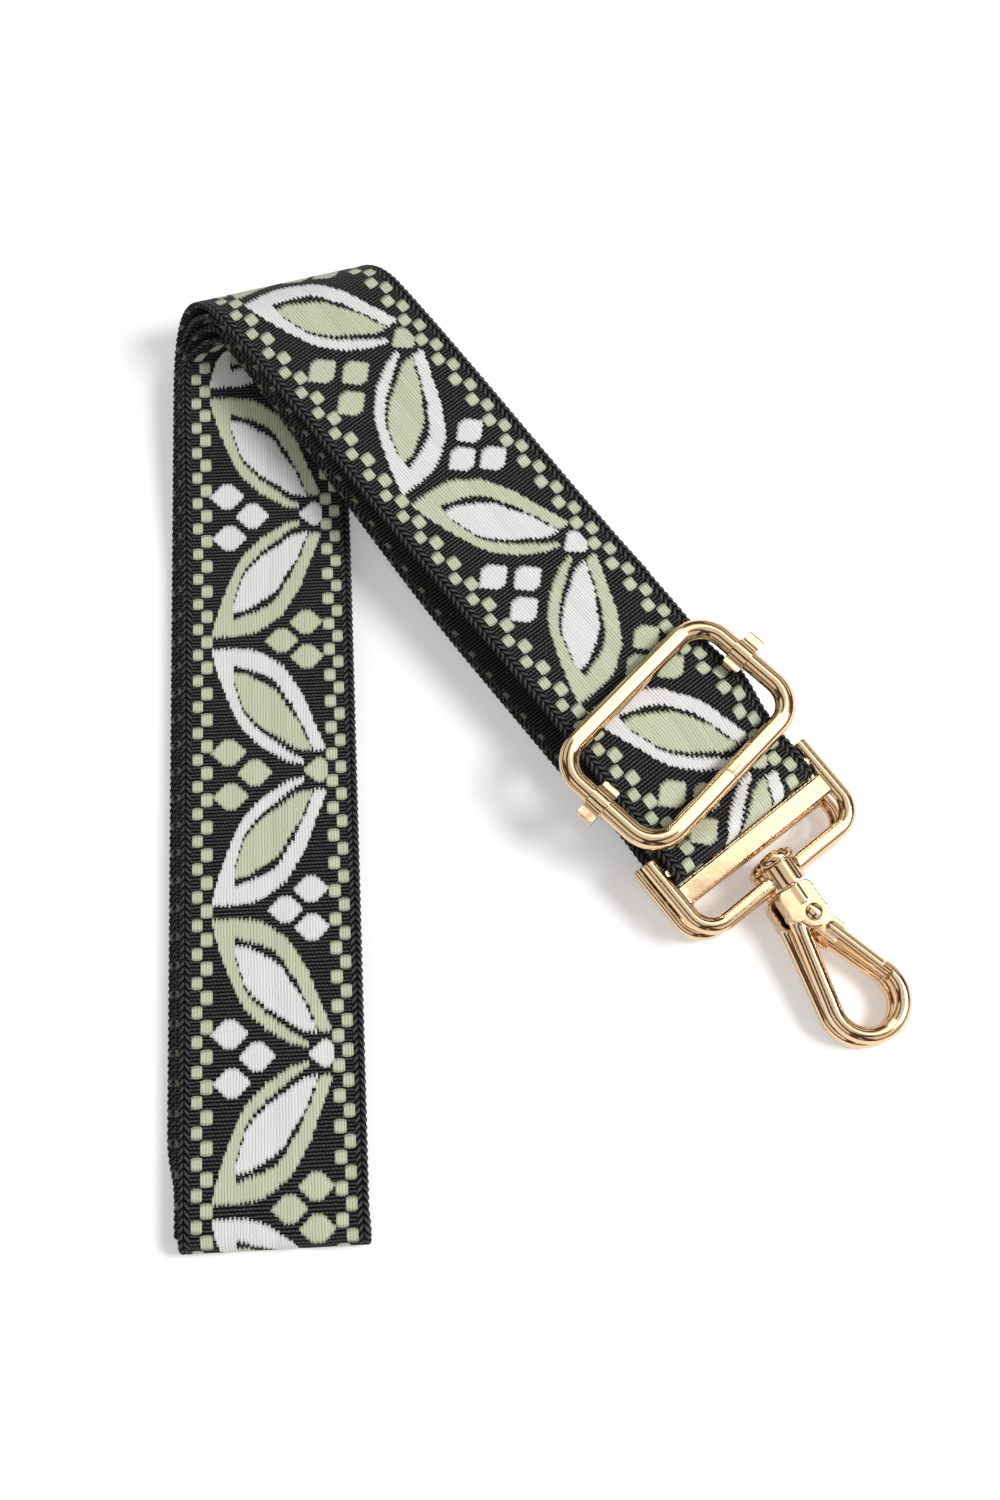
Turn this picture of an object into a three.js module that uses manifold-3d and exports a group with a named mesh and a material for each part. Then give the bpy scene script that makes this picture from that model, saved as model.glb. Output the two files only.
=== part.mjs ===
// Woven shoulder strap for a bag, folded into a flat bundle, with a wire slider and two swivel snap hooks.
// Millimetres, +Z up, lying on the plane z = 0. The plan shows an upright arm and a slanting arm
// that share one oblique fold at the top; four layers of one long webbing run through both arms.
import * as THREE from 'three';
import { mergeVertices } from 'three/addons/utils/BufferGeometryUtils.js';
import Module from 'manifold-3d';

const wasm = await Module();
wasm.setup();

// Webbing
const webbingWidth = 38;
const webbingThickness = 1.3;
const edgeBevel = 0.45;
const fitGap = 0.3;
const layerPitch = webbingThickness + fitGap;
const edgeThicknessShare = 0.5;

// Bundle plan: the upright arm leans left going up, the slanting arm falls to the lower right
const uprightLean = THREE.MathUtils.degToRad(3.05);
const slantLean = THREE.MathUtils.degToRad(40.17);
const uprightFoot = 191.1;
const uprightOffset = 24.5;
const slantLength = 130.9;
const foldLean = THREE.MathUtils.degToRad(14.6);
const foldPlace = 17.7;

// The four layers, 1 to 4: side steps on both arms, turn of the slanting run, radius at the top fold
const uprightSteps = [-3, -2, -1, 0];
const slantSteps = [-0.6, -1, -1.3, -1.5];
const slantTurns = [-1.6, -2.4, -2.4, -2.4].map(THREE.MathUtils.degToRad);
const innerFoldRadius = 3.2;
const foldRadiusStep = 2.9;
const uprightRamp = 55;
const slantLevelLength = 45.9;
const slantRamp = slantLength - slantLevelLength;
const footBlend = 20;
const innerFootGap = 1.2;

// Top run of the slanting arm: it turns a little in plan, then runs straight through the slider
const topStraightLength = 50.9;
const topRamp = slantLength - topStraightLength;
const topTurn = THREE.MathUtils.degToRad(-2);
const topTurnLength = 22;
const topRise = -0.05;

// Ends of the lower runs
const returnFoldBack = 20.9;
const returnFoldPlace = slantLength - returnFoldBack;
const lowerDipLength = 15;
const lowerSewnLength = 15.5;
const lowerSewnSettle = 9;

// Slider
const sliderToRing = 20.9;
const sliderPlace = slantLength - sliderToRing;
const sliderShift = 0;
const sliderSkew = THREE.MathUtils.degToRad(10.3);
const sliderWire = 3.9;
const sliderSideGap = 1.7;
const sliderLength = webbingWidth + 2 * (sliderSideGap + sliderWire);
const sliderDepth = 32;
const sliderCorner = 6.8;
const sliderBarWire = 2.4;
const sliderBarShift = -1.8;
const collarWall = 1;
const collarWidth = 4.4;
const sliderSewnLength = 12.6;
const sliderSewnSettle = 6;
const sliderTail = 3;

// Rings, local y runs from the webbing bar towards the hook
const ringSideGap = 0.25;
const ringInnerWidth = webbingWidth + 2 * ringSideGap;
const ringWire = 2.9;
const ringBarWire = 3;
const ringReach = 15.3;
const ringCorner = 5.5;
const ringHorn = 5.2;
const ringLugRadius = 1;
const ringLugReach = 0.1;
const plateDepth = 4;
const plateThickness = 2.6;
const plateBevel = 0.4;
const bossRadius = 3.1;
const bossLength = 5.2;
const upperRingHeight = 12.4;
const upperHookEndHeight = 6.65;
const lowerRingHeight = 3.9;
const lowerHookEndHeight = 2.05;
const lowerRingBack = 0.7;
const ringSkew = THREE.MathUtils.degToRad(2.6);
const hookSkews = [-6.5, -4].map(THREE.MathUtils.degToRad);

// Swivel post
const postRadius = 1.5;
const postHeadRadius = 3.4;
const postHeadHeight = 2.2;
const postSocketDepth = 4.3;

// Snap hook, local y runs from the swivel to the bend
const hookWire = 3.4;
const bendRadius = 7.5;
const bendPlace = 30.6;
const neckRadius = 2.5;
const neckEnd = 7;
const cheekStart = 5.4;
const cheekEnd = 13.6;
const cheekWidth = 9;
const cheekThickness = 4.2;
const cheekCorner = 2.6;
const cheekShift = -0.3;
const slotThickness = 2.4;
const pivotPlace = 9.8;
const pivotSide = -0.4;
const legRoot = 10.4;
const legSide = 2.2;
const noseTop = 26.6;
const noseLap = 2.4;

// Gate, its pin and its spring
const gateWire = 3;
const gateTab = 1.1;
const gateTabRadius = 2.3;
const gateShoulder = 5.8;
const pinRadius = 1;
const pinDomeRadius = 1.9;
const pinDomeHeight = 1;
const pinFootHeight = 0.4;
const springWire = 0.36;
const springTurns = 2;
const springLegLength = 3.4;

// Stitching
const threadWire = 0.5;
const stitchWidth = 30;
const stitchDepth = 5;

// Facets
const foldRows = 10;
const rampRows = 10;
const wireSides = 12;
const cornerRows = 6;
const bendRows = 16;
const roundSides = 28;

const halfWidth = webbingWidth / 2;
const halfThickness = webbingThickness / 2;
const loopRadius = ringBarWire / 2 + fitGap + halfThickness;
const wrapRadius = sliderBarWire / 2 + fitGap + halfThickness;
const zAxis = new THREE.Vector3(0, 0, 1);

// Colours and finishes
const blackWebbing = new THREE.MeshStandardMaterial({ color: 0x26262a, roughness: 0.85, metalness: 0 });
const blackThread = new THREE.MeshStandardMaterial({ color: 0x1b1b1e, roughness: 0.8, metalness: 0 });
const paleGold = new THREE.MeshStandardMaterial({ color: 0xe3bd8c, roughness: 0.18, metalness: 1 });
const springSteel = new THREE.MeshStandardMaterial({ color: 0xb9b9bd, roughness: 0.3, metalness: 1 });

// Plan directions
const planVector = (lean) => new THREE.Vector3(Math.sin(lean), -Math.cos(lean), 0);
const rightOf = (v) => new THREE.Vector3(v.y, -v.x, 0);
const leftOf = (v) => new THREE.Vector3(-v.y, v.x, 0);
const along = (point, ...steps) => {
  const out = point.clone();
  for (const [vector, length] of steps) out.addScaledVector(vector, length);
  return out;
};
const smooth = (x) => {
  const k = THREE.MathUtils.clamp(x, 0, 1);
  return k * k * (3 - 2 * k);
};
const steps = (count) => Array.from({ length: count + 1 }, (_, i) => i / count);

// A row of webbing: its two edge points on the middle surface and the way its patterned face looks
const row = (edgeA, edgeB, face) => ({ edgeA, edgeB, face: face.clone().normalize() });
const squareRow = (centre, side, face) => row(
  along(centre, [side, -halfWidth]),
  along(centre, [side, halfWidth]),
  face,
);
const flipFace = (r) => row(r.edgeA, r.edgeB, r.face.clone().negate());

// Closed solid through rows of webbing, with thinner bevelled edges
function webbingSolid(rows) {
  const position = [];
  const thin = halfThickness * edgeThicknessShare;
  for (const r of rows) {
    const side = r.edgeB.clone().sub(r.edgeA).normalize();
    const corners = [
      [r.edgeA, 0, thin], [r.edgeA, edgeBevel, halfThickness],
      [r.edgeB, -edgeBevel, halfThickness], [r.edgeB, 0, thin],
      [r.edgeB, 0, -thin], [r.edgeB, -edgeBevel, -halfThickness],
      [r.edgeA, edgeBevel, -halfThickness], [r.edgeA, 0, -thin],
    ];
    for (const [edge, inset, lift] of corners) {
      position.push(...along(edge, [side, inset], [r.face, lift]).toArray());
    }
  }
  const ring = 8;
  const index = [];
  for (let i = 0; i + 1 < rows.length; i += 1) {
    for (let k = 0; k < ring; k += 1) {
      const a = i * ring + k;
      const b = i * ring + (k + 1) % ring;
      index.push(a, b, a + ring, b, b + ring, a + ring);
    }
  }
  const last = (rows.length - 1) * ring;
  for (let k = 1; k + 1 < ring; k += 1) {
    index.push(0, k + 1, k);
    index.push(last, last + k, last + k + 1);
  }
  const geometry = new THREE.BufferGeometry();
  geometry.setAttribute('position', new THREE.Float32BufferAttribute(position, 3));
  geometry.setIndex(index);
  return outward(geometry);
}

// Turns a closed mesh's faces outwards where its volume comes out negative
function outward(geometry) {
  const p = geometry.attributes.position;
  const index = geometry.index.array;
  const [a, b, c] = [new THREE.Vector3(), new THREE.Vector3(), new THREE.Vector3()];
  let volume = 0;
  for (let i = 0; i < index.length; i += 3) {
    a.fromBufferAttribute(p, index[i]);
    b.fromBufferAttribute(p, index[i + 1]);
    c.fromBufferAttribute(p, index[i + 2]);
    volume += a.dot(b.cross(c));
  }
  if (volume < 0) {
    for (let i = 0; i < index.length; i += 3) {
      [index[i + 1], index[i + 2]] = [index[i + 2], index[i + 1]];
    }
  }
  return geometry;
}

// Solids joined and cut
function solid(geometry) {
  const bare = geometry.clone();
  for (const name of ['normal', 'uv']) bare.deleteAttribute(name);
  const merged = outward(mergeVertices(bare));
  return new wasm.Manifold(new wasm.Mesh({
    numProp: 3,
    vertProperties: Float32Array.from(merged.attributes.position.array),
    triVerts: Uint32Array.from(merged.index.array),
  }));
}
function geometryOf(manifold) {
  const mesh = manifold.getMesh();
  const geometry = new THREE.BufferGeometry();
  geometry.setAttribute('position', new THREE.Float32BufferAttribute(mesh.vertProperties, 3));
  geometry.setIndex(Array.from(mesh.triVerts));
  return geometry;
}
const joined = (...geometries) => geometryOf(geometries.map(solid).reduce((a, b) => a.add(b)));
const cut = (geometry, ...tools) => geometryOf(tools.map(solid).reduce((a, b) => a.subtract(b), solid(geometry)));

// Round wire along a path
class PointPath extends THREE.CurvePath {
  constructor(points, closed = false) {
    super();
    for (let i = 0; i + 1 < points.length; i += 1) this.add(new THREE.LineCurve3(points[i], points[i + 1]));
    if (closed) this.add(new THREE.LineCurve3(points[points.length - 1], points[0]));
  }
}
// The wire's rings stand square to the path at its points, so bends keep their section
function wireSolid(points, radius, closed = false, sides = wireSides, endRadius = radius) {
  const position = [];
  const index = [];
  const count = points.length;
  for (let i = 0; i < count; i += 1) {
    const before = points[closed ? (i + count - 1) % count : Math.max(i - 1, 0)];
    const after = points[closed ? (i + 1) % count : Math.min(i + 1, count - 1)];
    const tangent = after.clone().sub(before).normalize();
    const side = Math.abs(tangent.z) > 0.9 ? new THREE.Vector3(1, 0, 0) : zAxis.clone();
    const v = side.addScaledVector(tangent, -side.dot(tangent)).normalize();
    const u = v.clone().cross(tangent);
    const r = i === count - 1 ? endRadius : radius;
    for (let k = 0; k < sides; k += 1) {
      const angle = 2 * Math.PI * (k + 0.5) / sides;
      position.push(...along(points[i], [u, r * Math.cos(angle)], [v, r * Math.sin(angle)]).toArray());
    }
  }
  const spans = closed ? count : count - 1;
  for (let i = 0; i < spans; i += 1) {
    for (let k = 0; k < sides; k += 1) {
      const a = i * sides + k;
      const b = i * sides + (k + 1) % sides;
      const c = ((i + 1) % count) * sides + k;
      const d = ((i + 1) % count) * sides + (k + 1) % sides;
      index.push(a, b, c, b, d, c);
    }
  }
  if (!closed) {
    const last = (count - 1) * sides;
    for (let k = 1; k + 1 < sides; k += 1) {
      index.push(0, k + 1, k);
      index.push(last, last + k, last + k + 1);
    }
  }
  const geometry = new THREE.BufferGeometry();
  geometry.setAttribute('position', new THREE.Float32BufferAttribute(position, 3));
  geometry.setIndex(index);
  return outward(geometry);
}
const arcPoints = (centre, radius, from, to, count) => steps(count).map((k) => {
  const angle = from + (to - from) * k;
  return new THREE.Vector3(centre.x + radius * Math.cos(angle), centre.y + radius * Math.sin(angle), centre.z);
});
const lathe = (profile, sides = roundSides) => new THREE.LatheGeometry(
  profile.map(([r, y]) => new THREE.Vector2(r, y)),
  sides,
);
const rod = (radius, from, to, sides = roundSides) => lathe([[0, from], [radius, from], [radius, to], [0, to]], sides);

// Heights of the layers
const foldRadii = uprightSteps.map((_, k) => innerFoldRadius + (uprightSteps.length - 1 - k) * foldRadiusStep);
const foldHeight = halfThickness + foldRadii[0];
const uprightRest = uprightSteps.map((_, k) => halfThickness + k * layerPitch);
const slantRest = uprightSteps.map((_, k) => halfThickness + (uprightSteps.length - 1 - k) * layerPitch);
const topRunEnd = upperRingHeight + loopRadius;
const topRunHeight = (place) => topRunEnd - topRise * (slantLength - place);

// Plan frame: origin where the slanting arm's reference line starts
const slantWay = planVector(slantLean);
const slantSide = leftOf(slantWay);
const uprightWay = planVector(uprightLean).negate();
const uprightSide = rightOf(uprightWay);
const turned = (v, angle) => v.clone().applyAxisAngle(zAxis, angle);

// The fold's axis, level, crossing both arms at a slant
const foldAxis = new THREE.Vector3(Math.cos(foldLean), Math.sin(foldLean), 0);
const foldOut = leftOf(foldAxis);
const foldPoint = new THREE.Vector3(0, foldPlace, 0);
// Point of an edge line at a signed distance beyond the axis
const edgeAt = (point, way, reach) => {
  const missing = reach - point.clone().sub(foldPoint).dot(foldOut);
  return along(point, [way, missing / way.dot(foldOut)]);
};
const shareOf = (from, to, x) => from + (to - from) * x;

// One layer: rows up the upright arm, round the oblique fold and down the slanting arm.
// Rows near the fold stand along its axis, so the webbing bends as a sheet does.
function layerRows(k, slantRun) {
  const radius = foldRadii[k];
  const uprightPoint = along(new THREE.Vector3(-uprightOffset, 0, 0), [uprightSide, uprightSteps[k]]);
  const slantPoint = slantSide.clone().multiplyScalar(slantSteps[k]);
  const way = turned(slantWay, slantTurns[k]);
  const edges = [-halfWidth, halfWidth].map((u) => [
    along(uprightPoint, [uprightSide, u]),
    along(slantPoint, [leftOf(way), u]),
  ]);
  const flatRow = (side, sideWay, reach, height, slope, up) => {
    const face = along(new THREE.Vector3(), [foldOut, slope], [zAxis, up]);
    const points = edges.map((pair) => edgeAt(pair[side], sideWay, reach).setZ(height));
    return row(...points, face);
  };
  const arc = Math.PI * radius;
  const low = foldHeight - radius;
  const high = foldHeight + radius;
  const length = k === 0 ? topRamp : slantRamp;
  const ramp = (from, to, distance, span) => {
    const x = THREE.MathUtils.clamp(distance / span, 0, 1);
    return [shareOf(from, to, smooth(x)), (to - from) * 6 * x * (1 - x) / span];
  };
  const onUpright = (distance) => {
    const [height, slope] = ramp(low, uprightRest[k], distance, uprightRamp);
    return flatRow(0, uprightWay, -distance, height, slope, 1);
  };
  const onSlant = (distance) => {
    const [height, slope] = ramp(high, slantEndHeight(k), distance, length);
    return flatRow(1, way, -distance, height, -slope, -1);
  };
  // On the fold each edge point also drifts along the axis, meeting both arms without a kink
  const onFold = (x) => {
    const angle = Math.PI * x;
    const lift = along(new THREE.Vector3(), [foldOut, Math.sin(angle)], [zAxis, -Math.cos(angle)]);
    const points = edges.map(([upright, slant]) => {
      const start = edgeAt(upright, uprightWay, 0);
      const drift = edgeAt(slant, way, 0).sub(start).dot(foldAxis);
      const enter = arc * uprightWay.dot(foldAxis) / uprightWay.dot(foldOut);
      const leave = -arc * way.dot(foldAxis) / way.dot(foldOut);
      const shift = drift * smooth(x) + enter * x * (1 - x) ** 2 - leave * x * x * (1 - x);
      return along(start.setZ(foldHeight), [foldAxis, shift], [lift, radius]);
    });
    return row(...points, lift.clone().negate());
  };

  const rows = [];
  const foot = footPlaces[k];
  for (const x of steps(cornerRows)) {
    const centre = along(
      new THREE.Vector3(-uprightOffset, 0, 0),
      [uprightWay, foot + footBlend * x],
      [uprightSide, footStep(k) + (uprightSteps[k] - footStep(k)) * smooth(x)],
      [zAxis, uprightRest[k]],
    );
    rows.push(squareRow(centre, uprightSide, zAxis));
  }
  for (const x of steps(rampRows)) rows.push(onUpright(uprightRamp * (1 - x)));
  for (const x of steps(foldRows).slice(1, -1)) rows.push(onFold(x));
  for (const x of steps(rampRows)) rows.push(onSlant(length * x));
  return rows.concat(slantRun(way, slantPoint));
}

// Feet of the runs on the upright arm: the outer pair of layers wraps the inner pair
const outerFootRadius = (uprightRest[3] - uprightRest[0]) / 2;
const innerFootRadius = (uprightRest[2] - uprightRest[1]) / 2;
const outerFoot = -uprightFoot + outerFootRadius + halfThickness;
const innerFoot = outerFoot + innerFootGap;
const footPlaces = [outerFoot, innerFoot, innerFoot, outerFoot];
const footStep = (k) => (k === 0 || k === 3 ? uprightSteps[3] : uprightSteps[2]);
function footRows(k, lowHeight, radius) {
  return steps(foldRows).slice(1, -1).map((x) => {
    const angle = Math.PI * x;
    const centre = along(
      new THREE.Vector3(-uprightOffset, 0, 0),
      [uprightWay, footPlaces[k] - radius * Math.sin(angle)],
      [uprightSide, footStep(k)],
      [zAxis, lowHeight + radius * (1 - Math.cos(angle))],
    );
    const face = along(new THREE.Vector3(), [uprightWay, -Math.sin(angle)], [zAxis, -Math.cos(angle)]);
    return squareRow(centre, uprightSide, face);
  });
}

// Rows of a half turn about a level bar square to the run, starting below it or above it
function loopRows(barCentre, way, side, radius, startsAbove, count = foldRows) {
  const sign = startsAbove ? 1 : -1;
  return steps(count).map((x) => {
    const angle = Math.PI * x;
    const lift = along(new THREE.Vector3(), [way, Math.sin(angle)], [zAxis, sign * Math.cos(angle)]);
    return squareRow(along(barCentre, [lift, radius]), side, lift);
  });
}

// Top run: it turns a little in plan, then goes straight through the slider and over the upper ring's bar
const topWay = turned(slantWay, slantTurns[0]);
const topLow = turned(topWay, topTurn);
const rampEnd = edgeAt(slantSide.clone().multiplyScalar(slantSteps[0]), topWay, -topRamp);
const turnStart = along(rampEnd, [topWay, halfWidth / 2]);
const turnMiddle = along(turnStart, [topWay, topTurnLength / 2]);
const placeOf = (point) => point.dot(slantWay);
const topPoint = (place) => {
  const after = (place - placeOf(turnMiddle)) / topLow.dot(slantWay);
  return along(turnMiddle, [topLow, after], [zAxis, topRunHeight(place)]);
};
function slantEndHeight(k) {
  return k === 0 ? topRunHeight(placeOf(rampEnd)) : slantRest[k];
}
const topRunSide = leftOf(topLow);
const topRunFace = topRunSide.clone().cross(topLow.clone().setZ(topRise)).normalize();
if (topRunFace.z < 0) topRunFace.negate();
const upperBar = topPoint(slantLength).setZ(upperRingHeight);
const topEnd = turned(topLow, ringSkew);
const topEndSide = leftOf(topEnd);

function topRun() {
  const side = topRunSide;
  const down = topRunFace.clone().negate();
  const rows = [];
  for (const x of steps(cornerRows)) {
    const bulge = topTurnLength * x;
    const centre = along(turnStart, [topWay, bulge], [leftOf(topWay), topTurn * bulge * x / 2]);
    centre.setZ(topRunHeight(placeOf(centre)));
    rows.push(squareRow(centre, leftOf(turned(topWay, topTurn * x)), down));
  }
  rows.push(squareRow(topPoint(slantLength - lowerDipLength), side, down));
  rows.push(...loopRows(upperBar, topEnd, topEndSide, loopRadius, true).map(flipFace));
  rows.push(squareRow(along(upperBar, [topEnd, -sliderTail], [zAxis, -loopRadius]), topEndSide, zAxis));
  return rows;
}

// Lowest runs: the fourth layer turns back into the third at the lower end of the slanting arm
const returnFoldRadius = (slantRest[2] - slantRest[3]) / 2;
function slantEnd(k, way, point) {
  const centre = along(point, [way, returnFoldPlace], [zAxis, slantRest[k]]);
  return [squareRow(centre, leftOf(way), zAxis.clone().negate())];
}
function returnRows() {
  const way = turned(slantWay, slantTurns[3]);
  const point = slantSide.clone().multiplyScalar(slantSteps[3]);
  const middle = (slantRest[3] + slantRest[2]) / 2;
  const centre = along(point, [way, returnFoldPlace], [zAxis, middle]);
  return loopRows(centre, way, leftOf(way), returnFoldRadius, false).slice(1, -1);
}

// Second run: over the return fold, down to the lower ring's bar, round it and back to its sewn end
const lowerWay = turned(slantWay, slantTurns[1]);
const lowerSide = leftOf(lowerWay);
const lowerPoint = slantSide.clone().multiplyScalar(slantSteps[1]);
const lowerBar = along(lowerPoint, [lowerWay, slantLength - lowerRingBack], [zAxis, lowerRingHeight]);
const lowerRunHeight = (back) => {
  const low = lowerRingHeight - loopRadius;
  return low + (slantRest[1] - low) * smooth(back / lowerDipLength);
};
function lowerRun() {
  const down = zAxis.clone().negate();
  const at = (back, height) => along(lowerBar, [lowerWay, -back]).setZ(height);
  const rows = [];
  for (const x of steps(cornerRows).slice(0, -1)) {
    const back = lowerDipLength * (1 - x);
    rows.push(squareRow(at(back, lowerRunHeight(back)), lowerSide, down));
  }
  rows.push(...loopRows(lowerBar, lowerWay, lowerSide, loopRadius, false));
  const top = lowerRingHeight + loopRadius;
  for (const x of steps(cornerRows).slice(1)) {
    const back = lowerSewnLength * x;
    const settled = smooth(back / lowerSewnSettle);
    const height = top + (lowerRunHeight(back) + layerPitch - top) * settled;
    rows.push(squareRow(at(back, height), lowerSide, zAxis));
  }
  return rows;
}

// The whole webbing, from the loop on the upper ring to the sewn end on the lower ring
function webbingRows() {
  const first = layerRows(0, () => topRun()).map(flipFace).reverse();
  const second = layerRows(1, () => lowerRun());
  const third = layerRows(2, (way, point) => slantEnd(2, way, point)).map(flipFace).reverse();
  const fourth = layerRows(3, (way, point) => slantEnd(3, way, point));
  return [
    ...first,
    ...footRows(0, uprightRest[0], outerFootRadius),
    ...fourth,
    ...returnRows(),
    ...third,
    ...footRows(1, uprightRest[1], innerFootRadius),
    ...second,
  ];
}

const named = (name, geometry, material) => {
  const mesh = new THREE.Mesh(geometry, material);
  mesh.name = name;
  return mesh;
};
const strap = new THREE.Group();
strap.add(named('webbing', webbingSolid(webbingRows()), blackWebbing));

// Frames of the hardware: local x runs to the left edge, y away from the upright arm, z up
function placed(origin, way, lift = 0) {
  const y = way.clone();
  const x = y.clone().cross(zAxis).normalize();
  const z = x.clone().cross(y).normalize();
  const group = new THREE.Group();
  group.applyMatrix4(new THREE.Matrix4().makeBasis(x, y, z));
  group.position.copy(along(origin, [z, lift]));
  strap.add(group);
  return group;
}

// Slider: wire frame above the webbing, centre bar below it, carried by collars round the short sides
const sliderLift = halfThickness + fitGap + sliderWire / 2;
const sliderWay = turned(topLow, sliderSkew).setZ(topRise).normalize();
const slider = placed(along(topPoint(sliderPlace), [topRunSide, sliderShift]), sliderWay, sliderLift);
const sliderBarDrop = sliderLift + halfThickness + fitGap + 2 * halfThickness + fitGap + sliderBarWire / 2;
const sliderHalf = new THREE.Vector2((sliderLength - sliderWire) / 2, (sliderDepth - sliderWire) / 2);
function roundedRectangle(half, corner, count) {
  const points = [];
  const quarters = [[1, 1], [-1, 1], [-1, -1], [1, -1]];
  quarters.forEach(([sx, sy], i) => {
    const centre = new THREE.Vector3(sx * (half.x - corner), sy * (half.y - corner), 0);
    points.push(...arcPoints(centre, corner, i * Math.PI / 2, (i + 1) * Math.PI / 2, count));
  });
  return points;
}
slider.add(named('slider_frame', wireSolid(roundedRectangle(sliderHalf, sliderCorner, cornerRows), sliderWire / 2, true), paleGold));

function sliderBar() {
  const tubeRadius = sliderWire / 2 + fitGap + collarWall;
  const drop = new THREE.Vector3(0, 0, -sliderBarDrop);
  const parts = [wireSolid(
    [along(drop, [new THREE.Vector3(1, 0, 0), -sliderHalf.x]), along(drop, [new THREE.Vector3(1, 0, 0), sliderHalf.x])],
    sliderBarWire / 2,
  )];
  const bores = [];
  for (const side of [-1, 1]) {
    const collar = rod(tubeRadius, -collarWidth / 2, collarWidth / 2);
    collar.translate(side * sliderHalf.x, 0, 0);
    const lug = new THREE.BoxGeometry(2 * collarWall, collarWidth, sliderBarDrop);
    lug.translate(side * sliderHalf.x, 0, -sliderBarDrop / 2 - fitGap);
    parts.push(collar, lug);
    const bore = rod(sliderWire / 2 + fitGap, -collarWidth, collarWidth);
    bore.translate(side * sliderHalf.x, 0, 0);
    bores.push(bore);
  }
  return cut(joined(...parts), ...bores);
}
const barFrame = new THREE.Group();
barFrame.position.y = sliderBarShift;
slider.add(barFrame);
barFrame.add(named('slider_bar', sliderBar(), paleGold));

// Sewn end of the webbing: under the centre bar, round it and back on top of the return leg
const xAxis = new THREE.Vector3(1, 0, 0);
const yAxis = new THREE.Vector3(0, 1, 0);
const wrapLow = -sliderBarDrop - wrapRadius;
const wrapHigh = -sliderBarDrop + wrapRadius;
const sewnTop = wrapLow + layerPitch;
function sliderSewnRows() {
  const down = zAxis.clone().negate();
  const rows = [squareRow(new THREE.Vector3(0, sliderTail, wrapLow), xAxis, down)];
  for (const x of steps(foldRows)) {
    const angle = Math.PI * x;
    const centre = new THREE.Vector3(0, -wrapRadius * Math.sin(angle), -sliderBarDrop - wrapRadius * Math.cos(angle));
    rows.push(squareRow(centre, xAxis, new THREE.Vector3(0, -Math.sin(angle), -Math.cos(angle))));
  }
  for (const x of steps(cornerRows).slice(1)) {
    const y = sliderSewnLength * x;
    const height = wrapHigh + (sewnTop + returnRise * y - wrapHigh) * smooth(y / sliderSewnSettle);
    rows.push(squareRow(new THREE.Vector3(0, y, height), xAxis, zAxis));
  }
  return rows;
}

// Return leg: from the upper ring's loop back to the slider, skewed at the slider's end
const returnStart = along(upperBar, [topEnd, -sliderTail - fitGap], [zAxis, -loopRadius]);
slider.updateMatrixWorld(true);
const returnEnd = new THREE.Vector3(0, sliderTail + fitGap, wrapLow).applyMatrix4(barFrame.matrixWorld);
const returnSide = xAxis.clone().transformDirection(slider.matrixWorld);
const returnSpan = returnStart.clone().sub(returnEnd);
const returnRise = returnSpan.z / Math.hypot(returnSpan.x, returnSpan.y) - topRise;
barFrame.add(named('webbing_sewn_end', webbingSolid(sliderSewnRows()), blackWebbing));
strap.add(named('webbing_return_leg', webbingSolid([
  squareRow(returnStart, topEndSide, zAxis.clone().negate()),
  squareRow(returnEnd, returnSide.clone().negate(), zAxis.clone().negate()),
]), blackWebbing));

// Box stitch with its cross, a raised frame of thread on a sewn end
function boxStitch() {
  const half = new THREE.Vector2(stitchWidth / 2, stitchDepth / 2);
  const corners = [[-1, -1], [1, -1], [1, 1], [-1, 1]].map(([sx, sy]) => new THREE.Vector3(sx * half.x, sy * half.y, 0));
  const runs = [[0, 1], [1, 2], [2, 3], [3, 0], [0, 2], [1, 3]];
  const reach = threadWire / 2;
  return joined(...runs.map(([i, j]) => {
    const way = corners[j].clone().sub(corners[i]).normalize();
    return wireSolid([along(corners[i], [way, -reach]), along(corners[j], [way, reach])], threadWire / 2, false, 6);
  }));
}
const stitchLift = halfThickness + fitGap + threadWire / 2;
const sliderStitch = named('stitching_slider_end', boxStitch(), blackThread);
const sliderStitchPlace = sliderSewnLength - stitchDepth / 2 - 2 * threadWire;
sliderStitch.position.set(0, sliderStitchPlace, sewnTop + returnRise * sliderStitchPlace + stitchLift);
sliderStitch.rotation.x = Math.atan(returnRise);
barFrame.add(sliderStitch);

const ringStitch = named('stitching_ring_end', boxStitch(), blackThread);
const ringStitchBack = lowerSewnLength - stitchDepth / 2 - 2 * threadWire;
const ringStitchSlope = (lowerRunHeight(ringStitchBack + threadWire) - lowerRunHeight(ringStitchBack - threadWire))
  / (2 * threadWire);
const ringStitchFrame = placed(
  along(lowerBar, [lowerWay, -ringStitchBack]).setZ(lowerRunHeight(ringStitchBack) + layerPitch),
  lowerWay.clone().setZ(-ringStitchSlope).normalize(),
  stitchLift,
);
ringStitchFrame.add(ringStitch);

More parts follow.
